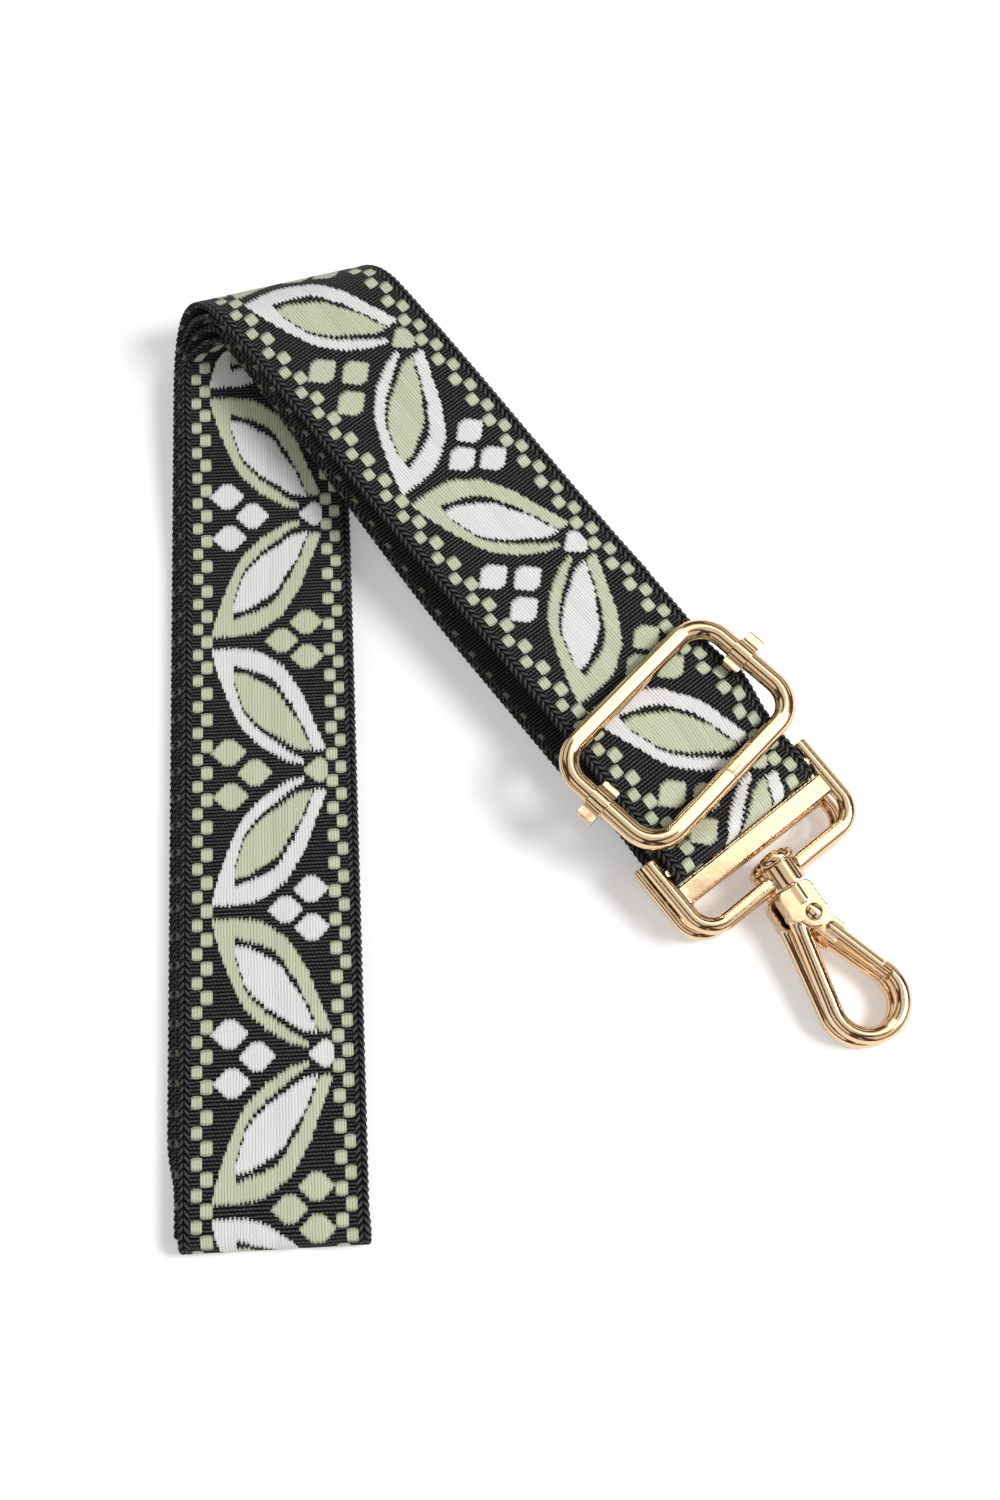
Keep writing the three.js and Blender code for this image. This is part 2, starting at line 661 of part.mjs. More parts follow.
// Ring: bent arms with open ends and small lugs, webbing bar, flat plate, far bar with the swivel boss
function ringSolid(hookSkew) {
  const halfInner = ringInnerWidth / 2;
  const armSide = halfInner + ringWire / 2;
  const hornEnd = -ringHorn + ringWire / 2;
  const path = [new THREE.Vector3(armSide, hornEnd, 0)];
  const right = new THREE.Vector3(armSide - ringCorner, ringReach - ringCorner, 0);
  path.push(...arcPoints(right, ringCorner, 0, Math.PI / 2, cornerRows));
  const left = new THREE.Vector3(ringCorner - armSide, ringReach - ringCorner, 0);
  path.push(...arcPoints(left, ringCorner, Math.PI / 2, Math.PI, cornerRows));
  path.push(new THREE.Vector3(-armSide, hornEnd, 0));
  const parts = [wireSolid(path, ringWire / 2)];
  for (const side of [-1, 1]) {
    const tip = new THREE.SphereGeometry(ringWire / 2, wireSides, wireSides);
    tip.translate(side * armSide, hornEnd, 0);
    const lug = wireSolid(
      [armSide, halfInner - ringLugReach].map((x) => new THREE.Vector3(side * x, hornEnd, 0)),
      ringLugRadius,
    );
    parts.push(tip, lug);
  }
  parts.push(wireSolid([new THREE.Vector3(-armSide, 0, 0), new THREE.Vector3(armSide, 0, 0)], ringBarWire / 2));
  const plateStart = loopRadius + halfThickness + fitGap;
  const outline = new THREE.Shape();
  outline.moveTo(-armSide, plateStart + plateBevel);
  outline.lineTo(armSide, plateStart + plateBevel);
  outline.lineTo(armSide, plateStart + plateDepth - plateBevel);
  outline.lineTo(-armSide, plateStart + plateDepth - plateBevel);
  const plate = new THREE.ExtrudeGeometry(outline, {
    depth: plateThickness - 2 * plateBevel,
    bevelThickness: plateBevel,
    bevelSize: plateBevel,
    bevelSegments: 1,
  });
  plate.translate(0, 0, plateBevel - plateThickness / 2);
  parts.push(plate);
  const boss = rod(bossRadius, -bossLength / 2, bossLength / 2);
  const bore = rod(postRadius + fitGap, -bossLength, bossLength);
  for (const piece of [boss, bore]) {
    piece.rotateZ(hookSkew);
    piece.translate(0, ringReach, 0);
  }
  return cut(joined(...parts, boss), bore);
}

// Swivel post: ringed, peened head inside the ring, shank through the boss into the hook's neck
function postSolid() {
  const head = -bossLength / 2 - fitGap;
  const back = head - postHeadHeight;
  const end = hookStart + postSocketDepth - fitGap;
  const ringShares = [0.32, 0.4, 0.62, 0.7, 0.9];
  const [core, groove, rib, rim, edge] = ringShares.map((share) => share * postHeadRadius);
  const rise = postHeadHeight / 4;
  return lathe([
    [0, back], [core, back], [groove, back + rise], [rib, back + rise],
    [rim, back + 2 * rise], [edge, back + 2 * rise], [postHeadRadius, back + 3 * rise],
    [postHeadRadius, head], [postRadius, head], [postRadius, end], [0, end],
  ]);
}

// Hook: socketed neck, slotted cheeks for the gate, round leg and bend up to the stepped nose
const hookStart = bossLength / 2 + fitGap;
const pivot = new THREE.Vector3(pivotSide, pivotPlace, 0);
const bendCentre = new THREE.Vector3(0, bendPlace, 0);
const tangentLean = (point) => Math.asin(bendRadius / bendCentre.distanceTo(point));
const gateLean = tangentLean(pivot) - Math.atan2(-pivotSide, bendPlace - pivotPlace);
const gateWay = new THREE.Vector3(-Math.sin(gateLean), Math.cos(gateLean), 0);
const noseAlong = (noseTop - pivotPlace) / gateWay.y;
function legPath() {
  const root = new THREE.Vector3(legSide, legRoot, 0);
  const legLean = tangentLean(root) - Math.atan2(legSide, bendPlace - legRoot);
  const bend = arcPoints(bendCentre, bendRadius, -legLean, Math.PI + gateLean, bendRows);
  return [root, ...bend, along(pivot, [gateWay, noseAlong])];
}
function roundedBox(width, depth, height, corner, bevel) {
  const shape = new THREE.Shape();
  const [w, d] = [width / 2 - bevel, depth / 2 - bevel];
  const r = corner - bevel;
  shape.moveTo(-w + r, -d);
  shape.lineTo(w - r, -d);
  shape.absarc(w - r, -d + r, r, -Math.PI / 2, 0);
  shape.lineTo(w, d - r);
  shape.absarc(w - r, d - r, r, 0, Math.PI / 2);
  shape.lineTo(-w + r, d);
  shape.absarc(-w + r, d - r, r, Math.PI / 2, Math.PI);
  shape.lineTo(-w, -d + r);
  shape.absarc(-w + r, -d + r, r, Math.PI, 3 * Math.PI / 2);
  const geometry = new THREE.ExtrudeGeometry(shape, {
    depth: height - 2 * bevel,
    bevelThickness: bevel,
    bevelSize: bevel,
    bevelSegments: 2,
    curveSegments: 5,
  });
  geometry.translate(0, 0, bevel - height / 2);
  return geometry;
}
function hookSolid() {
  const neck = rod(neckRadius, hookStart, neckEnd);
  const cheeks = roundedBox(cheekWidth, cheekEnd - cheekStart, cheekThickness, cheekCorner, plateBevel);
  cheeks.translate(cheekShift, (cheekStart + cheekEnd) / 2, 0);
  const leg = wireSolid(legPath(), hookWire / 2);
  const socket = rod(postRadius + fitGap, -hookStart, hookStart + postSocketDepth);
  const slotDepth = cheekEnd;
  const slot = new THREE.BoxGeometry(cheekWidth, slotDepth, slotThickness);
  slot.translate(-cheekWidth / 2 + gateTabRadius + fitGap, pivotPlace - gateTabRadius - fitGap + slotDepth / 2, 0);
  const pinHole = rod(pinRadius + fitGap, -cheekThickness, cheekThickness);
  pinHole.rotateX(Math.PI / 2);
  pinHole.translate(pivot.x, pivot.y, 0);
  const step = new THREE.BoxGeometry(hookWire, noseLap + hookWire, 2 * hookWire);
  step.translate(hookWire / 2 - fitGap / 2, noseAlong + (noseLap - hookWire) / 2, 0);
  step.rotateZ(gateLean);
  step.translate(pivot.x, pivot.y, 0);
  return cut(joined(neck, cheeks, leg), socket, slot, pinHole, step);
}

// Gate: flat tab on the pin, round bar, stepped end that laps inside the nose
function gateSolid() {
  const tab = rod(gateTabRadius, -gateTab / 2, gateTab / 2);
  tab.rotateX(Math.PI / 2);
  const web = new THREE.BoxGeometry(2 * gateTabRadius, gateShoulder + gateWire / 2, gateTab);
  web.translate(0, (gateShoulder + gateWire / 2) / 2, 0);
  const bar = rod(gateWire / 2, gateShoulder, noseAlong + noseLap - fitGap);
  const lap = new THREE.BoxGeometry(gateWire, noseLap + gateWire, 2 * gateWire);
  lap.translate(fitGap / 2 - gateWire / 2, noseAlong - fitGap + (noseLap + gateWire) / 2, 0);
  const hole = rod(pinRadius + fitGap, -gateWire, gateWire);
  hole.rotateX(Math.PI / 2);
  return cut(joined(tab, web, bar), lap, hole);
}
function pinSolid() {
  const half = cheekThickness / 2 + fitGap;
  const dome = steps(cornerRows).map((x) => [
    pinDomeRadius * Math.cos(x * Math.PI / 2),
    half + pinDomeHeight * Math.sin(x * Math.PI / 2),
  ]);
  dome[dome.length - 1][0] = 0;
  return lathe([
    [0, -half - pinFootHeight], [pinDomeRadius, -half - pinFootHeight], [pinDomeRadius, -half],
    [pinRadius, -half], [pinRadius, half], ...dome,
  ]).rotateX(Math.PI / 2);
}
function springSolid() {
  const radius = pinRadius + fitGap + springWire;
  const low = gateTab / 2 + fitGap / 2 + springWire / 2;
  const rise = (slotThickness / 2 - fitGap / 2 - springWire / 2 - low) / springTurns;
  const count = springTurns * bendRows;
  const points = steps(count).map((x) => {
    const angle = 2 * Math.PI * springTurns * x;
    return new THREE.Vector3(radius * Math.cos(angle), radius * Math.sin(angle), low + rise * springTurns * x);
  });
  const first = points[0];
  const last = points[points.length - 1];
  points.unshift(along(first, [yAxis, -springLegLength / 2]));
  points.push(along(last, [yAxis, springLegLength]));
  return wireSolid(points, springWire / 2, false, 6);
}

// Both ring and hook sets
const hookEnd = bendPlace + ringReach;
const sets = [
  { name: 'upper', bar: upperBar, way: topEnd, drop: upperRingHeight - upperHookEndHeight, skew: hookSkews[0] },
  { name: 'lower', bar: lowerBar, way: lowerWay, drop: lowerRingHeight - lowerHookEndHeight, skew: hookSkews[1] },
];
for (const set of sets) {
  const way = set.way.clone().setZ(-set.drop / hookEnd).normalize();
  const ring = placed(set.bar, way);
  ring.add(named(`${set.name}_ring`, ringSolid(set.skew), paleGold));
  const swivel = new THREE.Group();
  swivel.position.y = ringReach;
  swivel.rotation.z = set.skew;
  ring.add(swivel);
  swivel.add(named(`${set.name}_swivel_post`, postSolid(), paleGold));
  swivel.add(named(`${set.name}_hook`, hookSolid(), paleGold));
  const hinge = new THREE.Group();
  hinge.position.copy(pivot);
  swivel.add(hinge);
  const gate = named(`${set.name}_gate`, gateSolid(), paleGold);
  gate.rotation.z = gateLean;
  hinge.add(gate);
  hinge.add(named(`${set.name}_gate_pin`, pinSolid(), paleGold));
  hinge.add(named(`${set.name}_gate_spring`, springSolid(), springSteel));
}

// The bundle stands centred over its own origin, on the plane z = 0
const extent = new THREE.Box3().setFromObject(strap, true);
const centre = extent.getCenter(new THREE.Vector3());
strap.position.set(-centre.x, -centre.y, -extent.min.z);

export default strap;
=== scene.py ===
# Looks of the folded woven bag strap: patterned webbing, pale gold slider, rings, swivels and snap hooks.
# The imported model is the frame. Lengths are in millimetres until a mesh is made, then in metres.
import copy
import functools
from math import asin, atan2, cos, hypot, pi, radians, sin

import bmesh
import bpy
import numpy as np
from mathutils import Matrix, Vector


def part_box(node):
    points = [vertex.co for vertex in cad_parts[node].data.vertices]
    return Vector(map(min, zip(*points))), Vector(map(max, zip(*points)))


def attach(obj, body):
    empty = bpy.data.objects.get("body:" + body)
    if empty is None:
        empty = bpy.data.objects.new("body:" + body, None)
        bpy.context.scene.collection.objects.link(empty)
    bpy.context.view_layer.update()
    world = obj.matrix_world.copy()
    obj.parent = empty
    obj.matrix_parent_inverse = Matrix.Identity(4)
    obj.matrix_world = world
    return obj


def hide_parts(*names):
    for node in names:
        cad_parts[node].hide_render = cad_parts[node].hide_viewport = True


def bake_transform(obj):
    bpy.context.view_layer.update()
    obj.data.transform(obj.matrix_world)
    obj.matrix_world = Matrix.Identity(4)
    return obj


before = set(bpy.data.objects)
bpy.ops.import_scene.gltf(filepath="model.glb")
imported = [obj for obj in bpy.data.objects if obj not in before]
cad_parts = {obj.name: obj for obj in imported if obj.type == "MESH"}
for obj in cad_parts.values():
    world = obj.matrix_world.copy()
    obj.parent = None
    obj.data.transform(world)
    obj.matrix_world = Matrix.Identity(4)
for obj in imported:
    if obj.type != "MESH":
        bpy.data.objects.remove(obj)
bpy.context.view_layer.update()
MM = 0.001

# Sizes as in the part's source: webbing and its path
WEB_WIDTH = 38.0
WEB_THICK = 1.3
FIT_GAP = 0.3
PITCH = WEB_THICK + FIT_GAP
UPRIGHT_LEAN = radians(3.05)
SLANT_LEAN = radians(40.17)
UPRIGHT_FOOT = 191.1
UPRIGHT_OFFSET = 24.5
SLANT_LENGTH = 130.9
FOLD_LEAN = radians(14.6)
FOLD_PLACE = 17.7
UPRIGHT_STEPS = (-3.0, -2.0, -1.0, 0.0)
SLANT_STEPS = (-0.6, -1.0, -1.3, -1.5)
SLANT_TURNS = tuple(radians(a) for a in (-1.6, -2.4, -2.4, -2.4))
INNER_FOLD_RADIUS = 3.2
FOLD_RADIUS_STEP = 2.9
UPRIGHT_RAMP = 55.0
SLANT_RAMP = 85.0
FOOT_BLEND = 20.0
INNER_FOOT_GAP = 1.2
TOP_RAMP = 80.0
TOP_TURN = radians(-2.0)
TOP_TURN_LENGTH = 22.0
TOP_RISE = -0.05
RETURN_FOLD_PLACE = 110.0
LOWER_DIP = 15.0
LOWER_SEWN = 15.5
LOWER_SEWN_SETTLE = 9.0
# Slider and the webbing's loop round its bar
SLIDER_PLACE = 110.0
SLIDER_SKEW = radians(10.3)
SLIDER_LENGTH = 49.2
SLIDER_DEPTH = 32.0
SLIDER_WIRE = 3.9
SLIDER_CORNER = 6.8
BAR_WIRE = 2.4
BAR_SHIFT = -1.8
COLLAR_WIDTH = 4.4
SEWN_LENGTH = 12.6
SEWN_SETTLE = 6.0
TAIL = 3.0
# Rings and swivels
RING_INNER = 38.5
RING_BAR = 3.0
RING_REACH = 15.3
RING_CORNER = 5.5
RING_HORN = 5.2
RING_LUG = 1.0
PLATE_THICK = 2.6
BOSS_LENGTH = 5.2
UPPER_RING_HEIGHT = 12.4
UPPER_HOOK_END = 6.65
LOWER_RING_HEIGHT = 3.9
LOWER_HOOK_END = 2.05
LOWER_RING_BACK = 0.7
RING_SKEW = radians(2.6)
HOOK_SKEWS = (radians(-6.5), radians(-4.0))
POST_RADIUS = 1.5
POST_SOCKET = 4.3
# Snap hooks, gates and rivets
HOOK_WIRE = 3.4
BEND_RADIUS = 7.5
BEND_PLACE = 30.6
NECK_END = 7.0
CHEEK_END = 13.6
CHEEK_WIDTH = 9.0
CHEEK_THICK = 4.2
SLOT_THICK = 2.4
PIVOT_PLACE = 9.8
PIVOT_SIDE = -0.4
NOSE_TOP = 26.6
NOSE_LAP = 2.4
GATE_WIRE = 3.0
GATE_TAB = 1.1
GATE_TAB_RADIUS = 2.3
GATE_SHOULDER = 5.8
PIN_RADIUS = 1.0
PIN_DOME = 1.9
PIN_DOME_HEIGHT = 1.0
PIN_FOOT = 0.4
STITCH_WIDTH = 30.0
STITCH_DEPTH = 5.0

# Sizes of the scene's own shapes: the webbing at the slider dips, spreads, and laps below the sewn end
DIP_PLACE = 13.4
DIP_INNER = 3.0
DIP_OUTER = 4.6
DIP_DEPTH = 1.2
TOP_LAYER_REACH = 0.9
SPREAD = 1.8
SPREAD_PLACE = -1.0
SPREAD_REACH = 14.0
SPREAD_LIMIT = 20.8
LAP = 3.6
LAP_DROP = 1.62
LAP_START_SHARE = 0.06
LAP_RAMP_SHARE = 0.3
# Slider wire with its butt seam as (place, dip), and the bar's collars
SLIDER_ROUND = 2.2
SEAM_PLACE = -0.4
SEAM = ((0.45, 0), (0.12, 0.03), (0.05, 0.16), (-0.05, 0.16), (-0.12, 0.03), (-0.45, 0))
COLLAR_WALL = 0.6
BORE_GAP = 0.05
TAB_WIDTHS = ((-1, 3.0), (1, 3.8))
TAB_HEIGHT = 2.3
TAB_SINK = 0.9
TAB_LOW = -0.2
TAB_CORNER = 0.5
TAB_INSET = 0.3
LUG_WIDTH = 2.2
# Ring wire and boss radii of each ring, and the plate
RING_ROUNDS = {"upper": (1.8, 3.8), "lower": (1.6, 3.2)}
HORN_START = -0.9
HORN_END = 0.5
LUG_REACH = 0.1
RING_STRAIGHT = 5.0
PLATE_DEPTH = 4.8
PLATE_BEVEL = 0.45
PLATE_SHOULDER = 2.4
POST_HEADS = {"upper": 4.3, "lower": 3.4}
POST_HEAD_HEIGHT = 2.7
POST_GAP = 0.12
POST_PLAY = 0.1
# Outline of the ringed head, as shares of its radius and of its height
POST_HEAD_SHARES = (
    (0.15, 0), (0.30, 0.03), (0.38, 0.16), (0.44, 0.20), (0.56, 0.12), (0.66, 0.18), (0.71, 0.36),
    (0.77, 0.40), (0.88, 0.36), (0.97, 0.5), (1.0, 0.68), (0.985, 0.86), (0.9, 1),
)
# Hook forged round the swivel, the pivot and the leg's root
NECK_RADIUS = 2.3
CHEEK_RADIUS = 3.3
LEG_ROOT_RADIUS = 2.0
LEG_TOP = 8.4
LEG_TOP_SIDE = 2.9
LEG_TAIL = (0.2, 2.6)
HOOK_FORGED = 1.82
HOOK_SWELL = 0.1
HEAD_WIDTH = 8.2
HEAD_LENGTH = 6.6
HEAD_SIDE = 0.6
HEAD_CORNER = 1.7
TAB_SWELL = 0.3
SHOULDER_GAP = 0.15
PIN_GAP = 0.02
STITCH_LENGTH = 2.4
STITCH_WIRE = 0.42
STITCH_BACK = 1.0
STITCH_LIFT = 0.12
STITCH_SEED = 7
STITCH_LEAST = (0.92, 0.92, 2.25)
STITCH_MOST = (1.06, 1.06, 2.5)

# Rows of the path: foot, turn below the slider, ramps, fold, foot turns, loops and ends
FOOT_ROWS = 10
TURN_ROWS = 10
RAMP_ROWS = 28
FOLD_ROWS = 36
FOOT_TURN_ROWS = 20
LOOP_ROWS = 24
RETURN_ROWS = 14
END_ROWS = 12
WRAP_ROWS = 20
LEG_ROWS = 24
BEFORE_FOLD = FOOT_ROWS + RAMP_ROWS + 2
LAYER_ROWS = BEFORE_FOLD + 2 * FOLD_ROWS

HALF_WIDTH = WEB_WIDTH / 2
HALF_THICK = WEB_THICK / 2
LOOP_RADIUS = RING_BAR / 2 + FIT_GAP + HALF_THICK
WRAP_RADIUS = BAR_WIRE / 2 + FIT_GAP + HALF_THICK
UP = np.array([0.0, 0.0, 1.0])


def vec(x, y, z=0.0):
    return np.array([x, y, z], float)


def unit(v):
    return v / np.linalg.norm(v)


def plan_way(lean):
    return vec(sin(lean), -cos(lean))


def left_of(v):
    return vec(-v[1], v[0])


def turned(v, angle):
    c, s = cos(angle), sin(angle)
    return vec(c * v[0] - s * v[1], s * v[0] + c * v[1], v[2])


def link_object(name, data):
    thing = bpy.data.objects.new(name, data)
    bpy.context.collection.objects.link(thing)
    return thing


def smooth(x):
    k = min(max(x, 0.0), 1.0)
    return k * k * (3 - 2 * k)


def shares(count):
    return [i / count for i in range(count + 1)]


# The strap's path: rows of webbing, each with its two edge points and the way its patterned face looks.
# Layer 0 is the lowest of the upright arm and the top of the slanting arm, where it carries the slider;
# layer 3 is the other way round
FOLD_RADII = [INNER_FOLD_RADIUS + (3 - k) * FOLD_RADIUS_STEP for k in range(4)]
FOLD_HEIGHT = HALF_THICK + FOLD_RADII[0]
UPRIGHT_REST = [HALF_THICK + k * PITCH for k in range(4)]
SLANT_REST = [HALF_THICK + (3 - k) * PITCH for k in range(4)]
TOP_RUN_END = UPPER_RING_HEIGHT + LOOP_RADIUS
SLANT_WAY = plan_way(SLANT_LEAN)
SLANT_SIDE = left_of(SLANT_WAY)
UPRIGHT_WAY = -plan_way(UPRIGHT_LEAN)
UPRIGHT_SIDE = -left_of(UPRIGHT_WAY)
FOLD_AXIS = vec(cos(FOLD_LEAN), sin(FOLD_LEAN))
FOLD_OUT = left_of(FOLD_AXIS)
FOLD_POINT = vec(0, FOLD_PLACE)
FOOT_ORIGIN = vec(-UPRIGHT_OFFSET, 0)


def top_run_height(place):
    return TOP_RUN_END - TOP_RISE * (SLANT_LENGTH - place)


def edge_at(point, way, reach):
    missing = reach - (point - FOLD_POINT) @ FOLD_OUT
    return point + way * missing / (way @ FOLD_OUT)


def at_height(point, height):
    return vec(point[0], point[1], height)


def square_row(centre, side, face):
    return (centre - side * HALF_WIDTH, centre + side * HALF_WIDTH, unit(face))


def flipped(row):
    return (row[0], row[1], -row[2])


TOP_WAY = turned(SLANT_WAY, SLANT_TURNS[0])
TOP_LOW = turned(TOP_WAY, TOP_TURN)
RAMP_END = edge_at(SLANT_SIDE * SLANT_STEPS[0], TOP_WAY, -TOP_RAMP)
TURN_START = RAMP_END + TOP_WAY * HALF_WIDTH / 2
TURN_MIDDLE = TURN_START + TOP_WAY * TOP_TURN_LENGTH / 2


def top_point(place):
    after = (place - TURN_MIDDLE @ SLANT_WAY) / (TOP_LOW @ SLANT_WAY)
    return at_height(TURN_MIDDLE + TOP_LOW * after, top_run_height(place))


TOP_SIDE = left_of(TOP_LOW)
TOP_FACE = unit(np.cross(TOP_SIDE, at_height(TOP_LOW, TOP_RISE)))
if TOP_FACE[2] < 0:
    TOP_FACE = -TOP_FACE
UPPER_BAR = at_height(top_point(SLANT_LENGTH), UPPER_RING_HEIGHT)
TOP_END = turned(TOP_LOW, RING_SKEW)
TOP_END_SIDE = left_of(TOP_END)
LOWER_WAY = turned(SLANT_WAY, SLANT_TURNS[1])
LOWER_SIDE = left_of(LOWER_WAY)
LOWER_BAR = at_height(
    SLANT_SIDE * SLANT_STEPS[1] + LOWER_WAY * (SLANT_LENGTH - LOWER_RING_BACK), LOWER_RING_HEIGHT
)
OUTER_FOOT_RADIUS = (UPRIGHT_REST[3] - UPRIGHT_REST[0]) / 2
INNER_FOOT_RADIUS = (UPRIGHT_REST[2] - UPRIGHT_REST[1]) / 2
OUTER_FOOT = -UPRIGHT_FOOT + OUTER_FOOT_RADIUS + HALF_THICK
FOOT_PLACES = (OUTER_FOOT, OUTER_FOOT + INNER_FOOT_GAP, OUTER_FOOT + INNER_FOOT_GAP, OUTER_FOOT)


def foot_step(k):
    return UPRIGHT_STEPS[3] if k in (0, 3) else UPRIGHT_STEPS[2]


def upright_row(along, aside, height, face=UP):
    centre = FOOT_ORIGIN + UPRIGHT_WAY * along + UPRIGHT_SIDE * aside + UP * height
    return square_row(centre, UPRIGHT_SIDE, face)


def layer_rows(k):
    """Rows of one layer: up the upright arm, round the oblique fold and down the slanting arm."""
    radius = FOLD_RADII[k]
    upright_point = FOOT_ORIGIN + UPRIGHT_SIDE * UPRIGHT_STEPS[k]
    slant_point = SLANT_SIDE * SLANT_STEPS[k]
    way = turned(SLANT_WAY, SLANT_TURNS[k])
    edges = [
        (upright_point + UPRIGHT_SIDE * u, slant_point + left_of(way) * u) for u in (-HALF_WIDTH, HALF_WIDTH)
    ]
    low, high = FOLD_HEIGHT - radius, FOLD_HEIGHT + radius
    length = TOP_RAMP if k == 0 else SLANT_RAMP
    slant_end = top_run_height(RAMP_END @ SLANT_WAY) if k == 0 else SLANT_REST[k]

    def ramp(start, end, distance, span):
        x = min(max(distance / span, 0.0), 1.0)
        return start + (end - start) * smooth(x), (end - start) * 6 * x * (1 - x) / span

    def flat_row(side, side_way, reach, height, slope, up):
        a, b = (at_height(edge_at(pair[side], side_way, reach), height) for pair in edges)
        return (a, b, unit(FOLD_OUT * slope + UP * up))

    def on_upright(distance):
        height, slope = ramp(low, UPRIGHT_REST[k], distance, UPRIGHT_RAMP)
        return flat_row(0, UPRIGHT_WAY, -distance, height, slope, 1)

    def on_slant(distance):
        height, slope = ramp(high, slant_end, distance, length)
        return flat_row(1, way, -distance, height, -slope, -1)

    def on_fold(x):
        angle = pi * x
        lift = FOLD_OUT * sin(angle) - UP * cos(angle)
        arc = pi * radius
        enter = arc * (UPRIGHT_WAY @ FOLD_AXIS) / (UPRIGHT_WAY @ FOLD_OUT)
        leave = -arc * (way @ FOLD_AXIS) / (way @ FOLD_OUT)
        points = []
        for upright, slant in edges:
            start = edge_at(upright, UPRIGHT_WAY, 0)
            drift = (edge_at(slant, way, 0) - start) @ FOLD_AXIS
            shift = drift * smooth(x) + enter * x * (1 - x) ** 2 - leave * x * x * (1 - x)
            points.append(at_height(start, FOLD_HEIGHT) + FOLD_AXIS * shift + lift * radius)
        return (points[0], points[1], -lift)

    rows = []
    for x in shares(FOOT_ROWS):
        aside = foot_step(k) + (UPRIGHT_STEPS[k] - foot_step(k)) * smooth(x)
        rows.append(upright_row(FOOT_PLACES[k] + FOOT_BLEND * x, aside, UPRIGHT_REST[k]))
    rows += [on_upright(UPRIGHT_RAMP * (1 - x)) for x in shares(RAMP_ROWS)]
    rows += [on_fold(x) for x in shares(FOLD_ROWS)[1:-1]]
    return rows + [on_slant(length * x) for x in shares(FOLD_ROWS)]


def foot_rows(k, low_height, radius):
    rows = []
    for x in shares(FOOT_TURN_ROWS)[1:-1]:
        s, c = sin(pi * x), cos(pi * x)
        height = low_height + radius * (1 - c)
        rows.append(upright_row(FOOT_PLACES[k] - radius * s, foot_step(k), height, -UPRIGHT_WAY * s - UP * c))
    return rows


def loop_rows(centre, way, side, radius, starts_above, count=LOOP_ROWS):
    """Half a turn round a bar or inside a fold, from its top or from its underside."""
    sign = 1 if starts_above else -1
    rows = []
    for x in shares(count):
        lift = way * sin(pi * x) + UP * sign * cos(pi * x)
        rows.append(square_row(centre + lift * radius, side, lift))
    return rows


def top_run():
    """Through the slider, over the upper ring's bar and back below it."""
    rows = []
    for x in shares(TURN_ROWS):
        bulge = TOP_TURN_LENGTH * x
        centre = TURN_START + TOP_WAY * bulge + left_of(TOP_WAY) * TOP_TURN * bulge * x / 2
        centre = at_height(centre, top_run_height(centre @ SLANT_WAY))
        rows.append(square_row(centre, left_of(turned(TOP_WAY, TOP_TURN * x)), -TOP_FACE))
    rows.append(square_row(top_point(SLANT_LENGTH - LOWER_DIP), TOP_SIDE, -TOP_FACE))
    rows += [flipped(r) for r in loop_rows(UPPER_BAR, TOP_END, TOP_END_SIDE, LOOP_RADIUS, True)]
    rows.append(square_row(UPPER_BAR - TOP_END * TAIL - UP * LOOP_RADIUS, TOP_END_SIDE, UP))
    return rows


def lower_run_height(back):
    low = LOWER_RING_HEIGHT - LOOP_RADIUS
    return low + (SLANT_REST[1] - low) * smooth(back / LOWER_DIP)


def lower_row(back, height, face):
    return square_row(at_height(LOWER_BAR - LOWER_WAY * back, height), LOWER_SIDE, face)


def lower_run():
    """Down to the lower ring's bar, round it and back to the sewn end on top."""
    backs = [LOWER_DIP * (1 - x) for x in shares(END_ROWS)[:-1]]
    rows = [lower_row(back, lower_run_height(back), -UP) for back in backs]
    rows += loop_rows(LOWER_BAR, LOWER_WAY, LOWER_SIDE, LOOP_RADIUS, False)
    top = LOWER_RING_HEIGHT + LOOP_RADIUS
    for x in shares(END_ROWS)[1:]:
        back = LOWER_SEWN * x
        height = top + (lower_run_height(back) + PITCH - top) * smooth(back / LOWER_SEWN_SETTLE)
        rows.append(lower_row(back, height, UP))
    return rows


def return_place(k):
    way = turned(SLANT_WAY, SLANT_TURNS[k])
    return way, SLANT_SIDE * SLANT_STEPS[k] + way * RETURN_FOLD_PLACE


def return_end_row(k):
    way, place = return_place(k)
    return square_row(at_height(place, SLANT_REST[k]), left_of(way), -UP)


def return_rows():
    way, place = return_place(3)
    middle = at_height(place, (SLANT_REST[3] + SLANT_REST[2]) / 2)
    radius = (SLANT_REST[2] - SLANT_REST[3]) / 2
    return loop_rows(middle, way, left_of(way), radius, False, RETURN_ROWS)[1:-1]


def reversed_rows(rows):
    return [flipped(r) for r in rows][::-1]


first = reversed_rows(layer_rows(0) + top_run())
second = layer_rows(1) + lower_run()
third = reversed_rows(layer_rows(2) + [return_end_row(2)])
fourth = layer_rows(3) + [return_end_row(3)]
FOOT_OUT = foot_rows(0, UPRIGHT_REST[0], OUTER_FOOT_RADIUS)
FOOT_IN = foot_rows(1, UPRIGHT_REST[1], INNER_FOOT_RADIUS)
strap_rows = first + FOOT_OUT + fourth + return_rows() + third + FOOT_IN + second
span = np.array([p for r in strap_rows for p in r[:2]])
solid_low, solid_high = (np.array(c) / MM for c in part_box("webbing"))
TO_PART = at_height((solid_low + solid_high) / 2 - (span.min(0) + span.max(0)) / 2, 0.0)


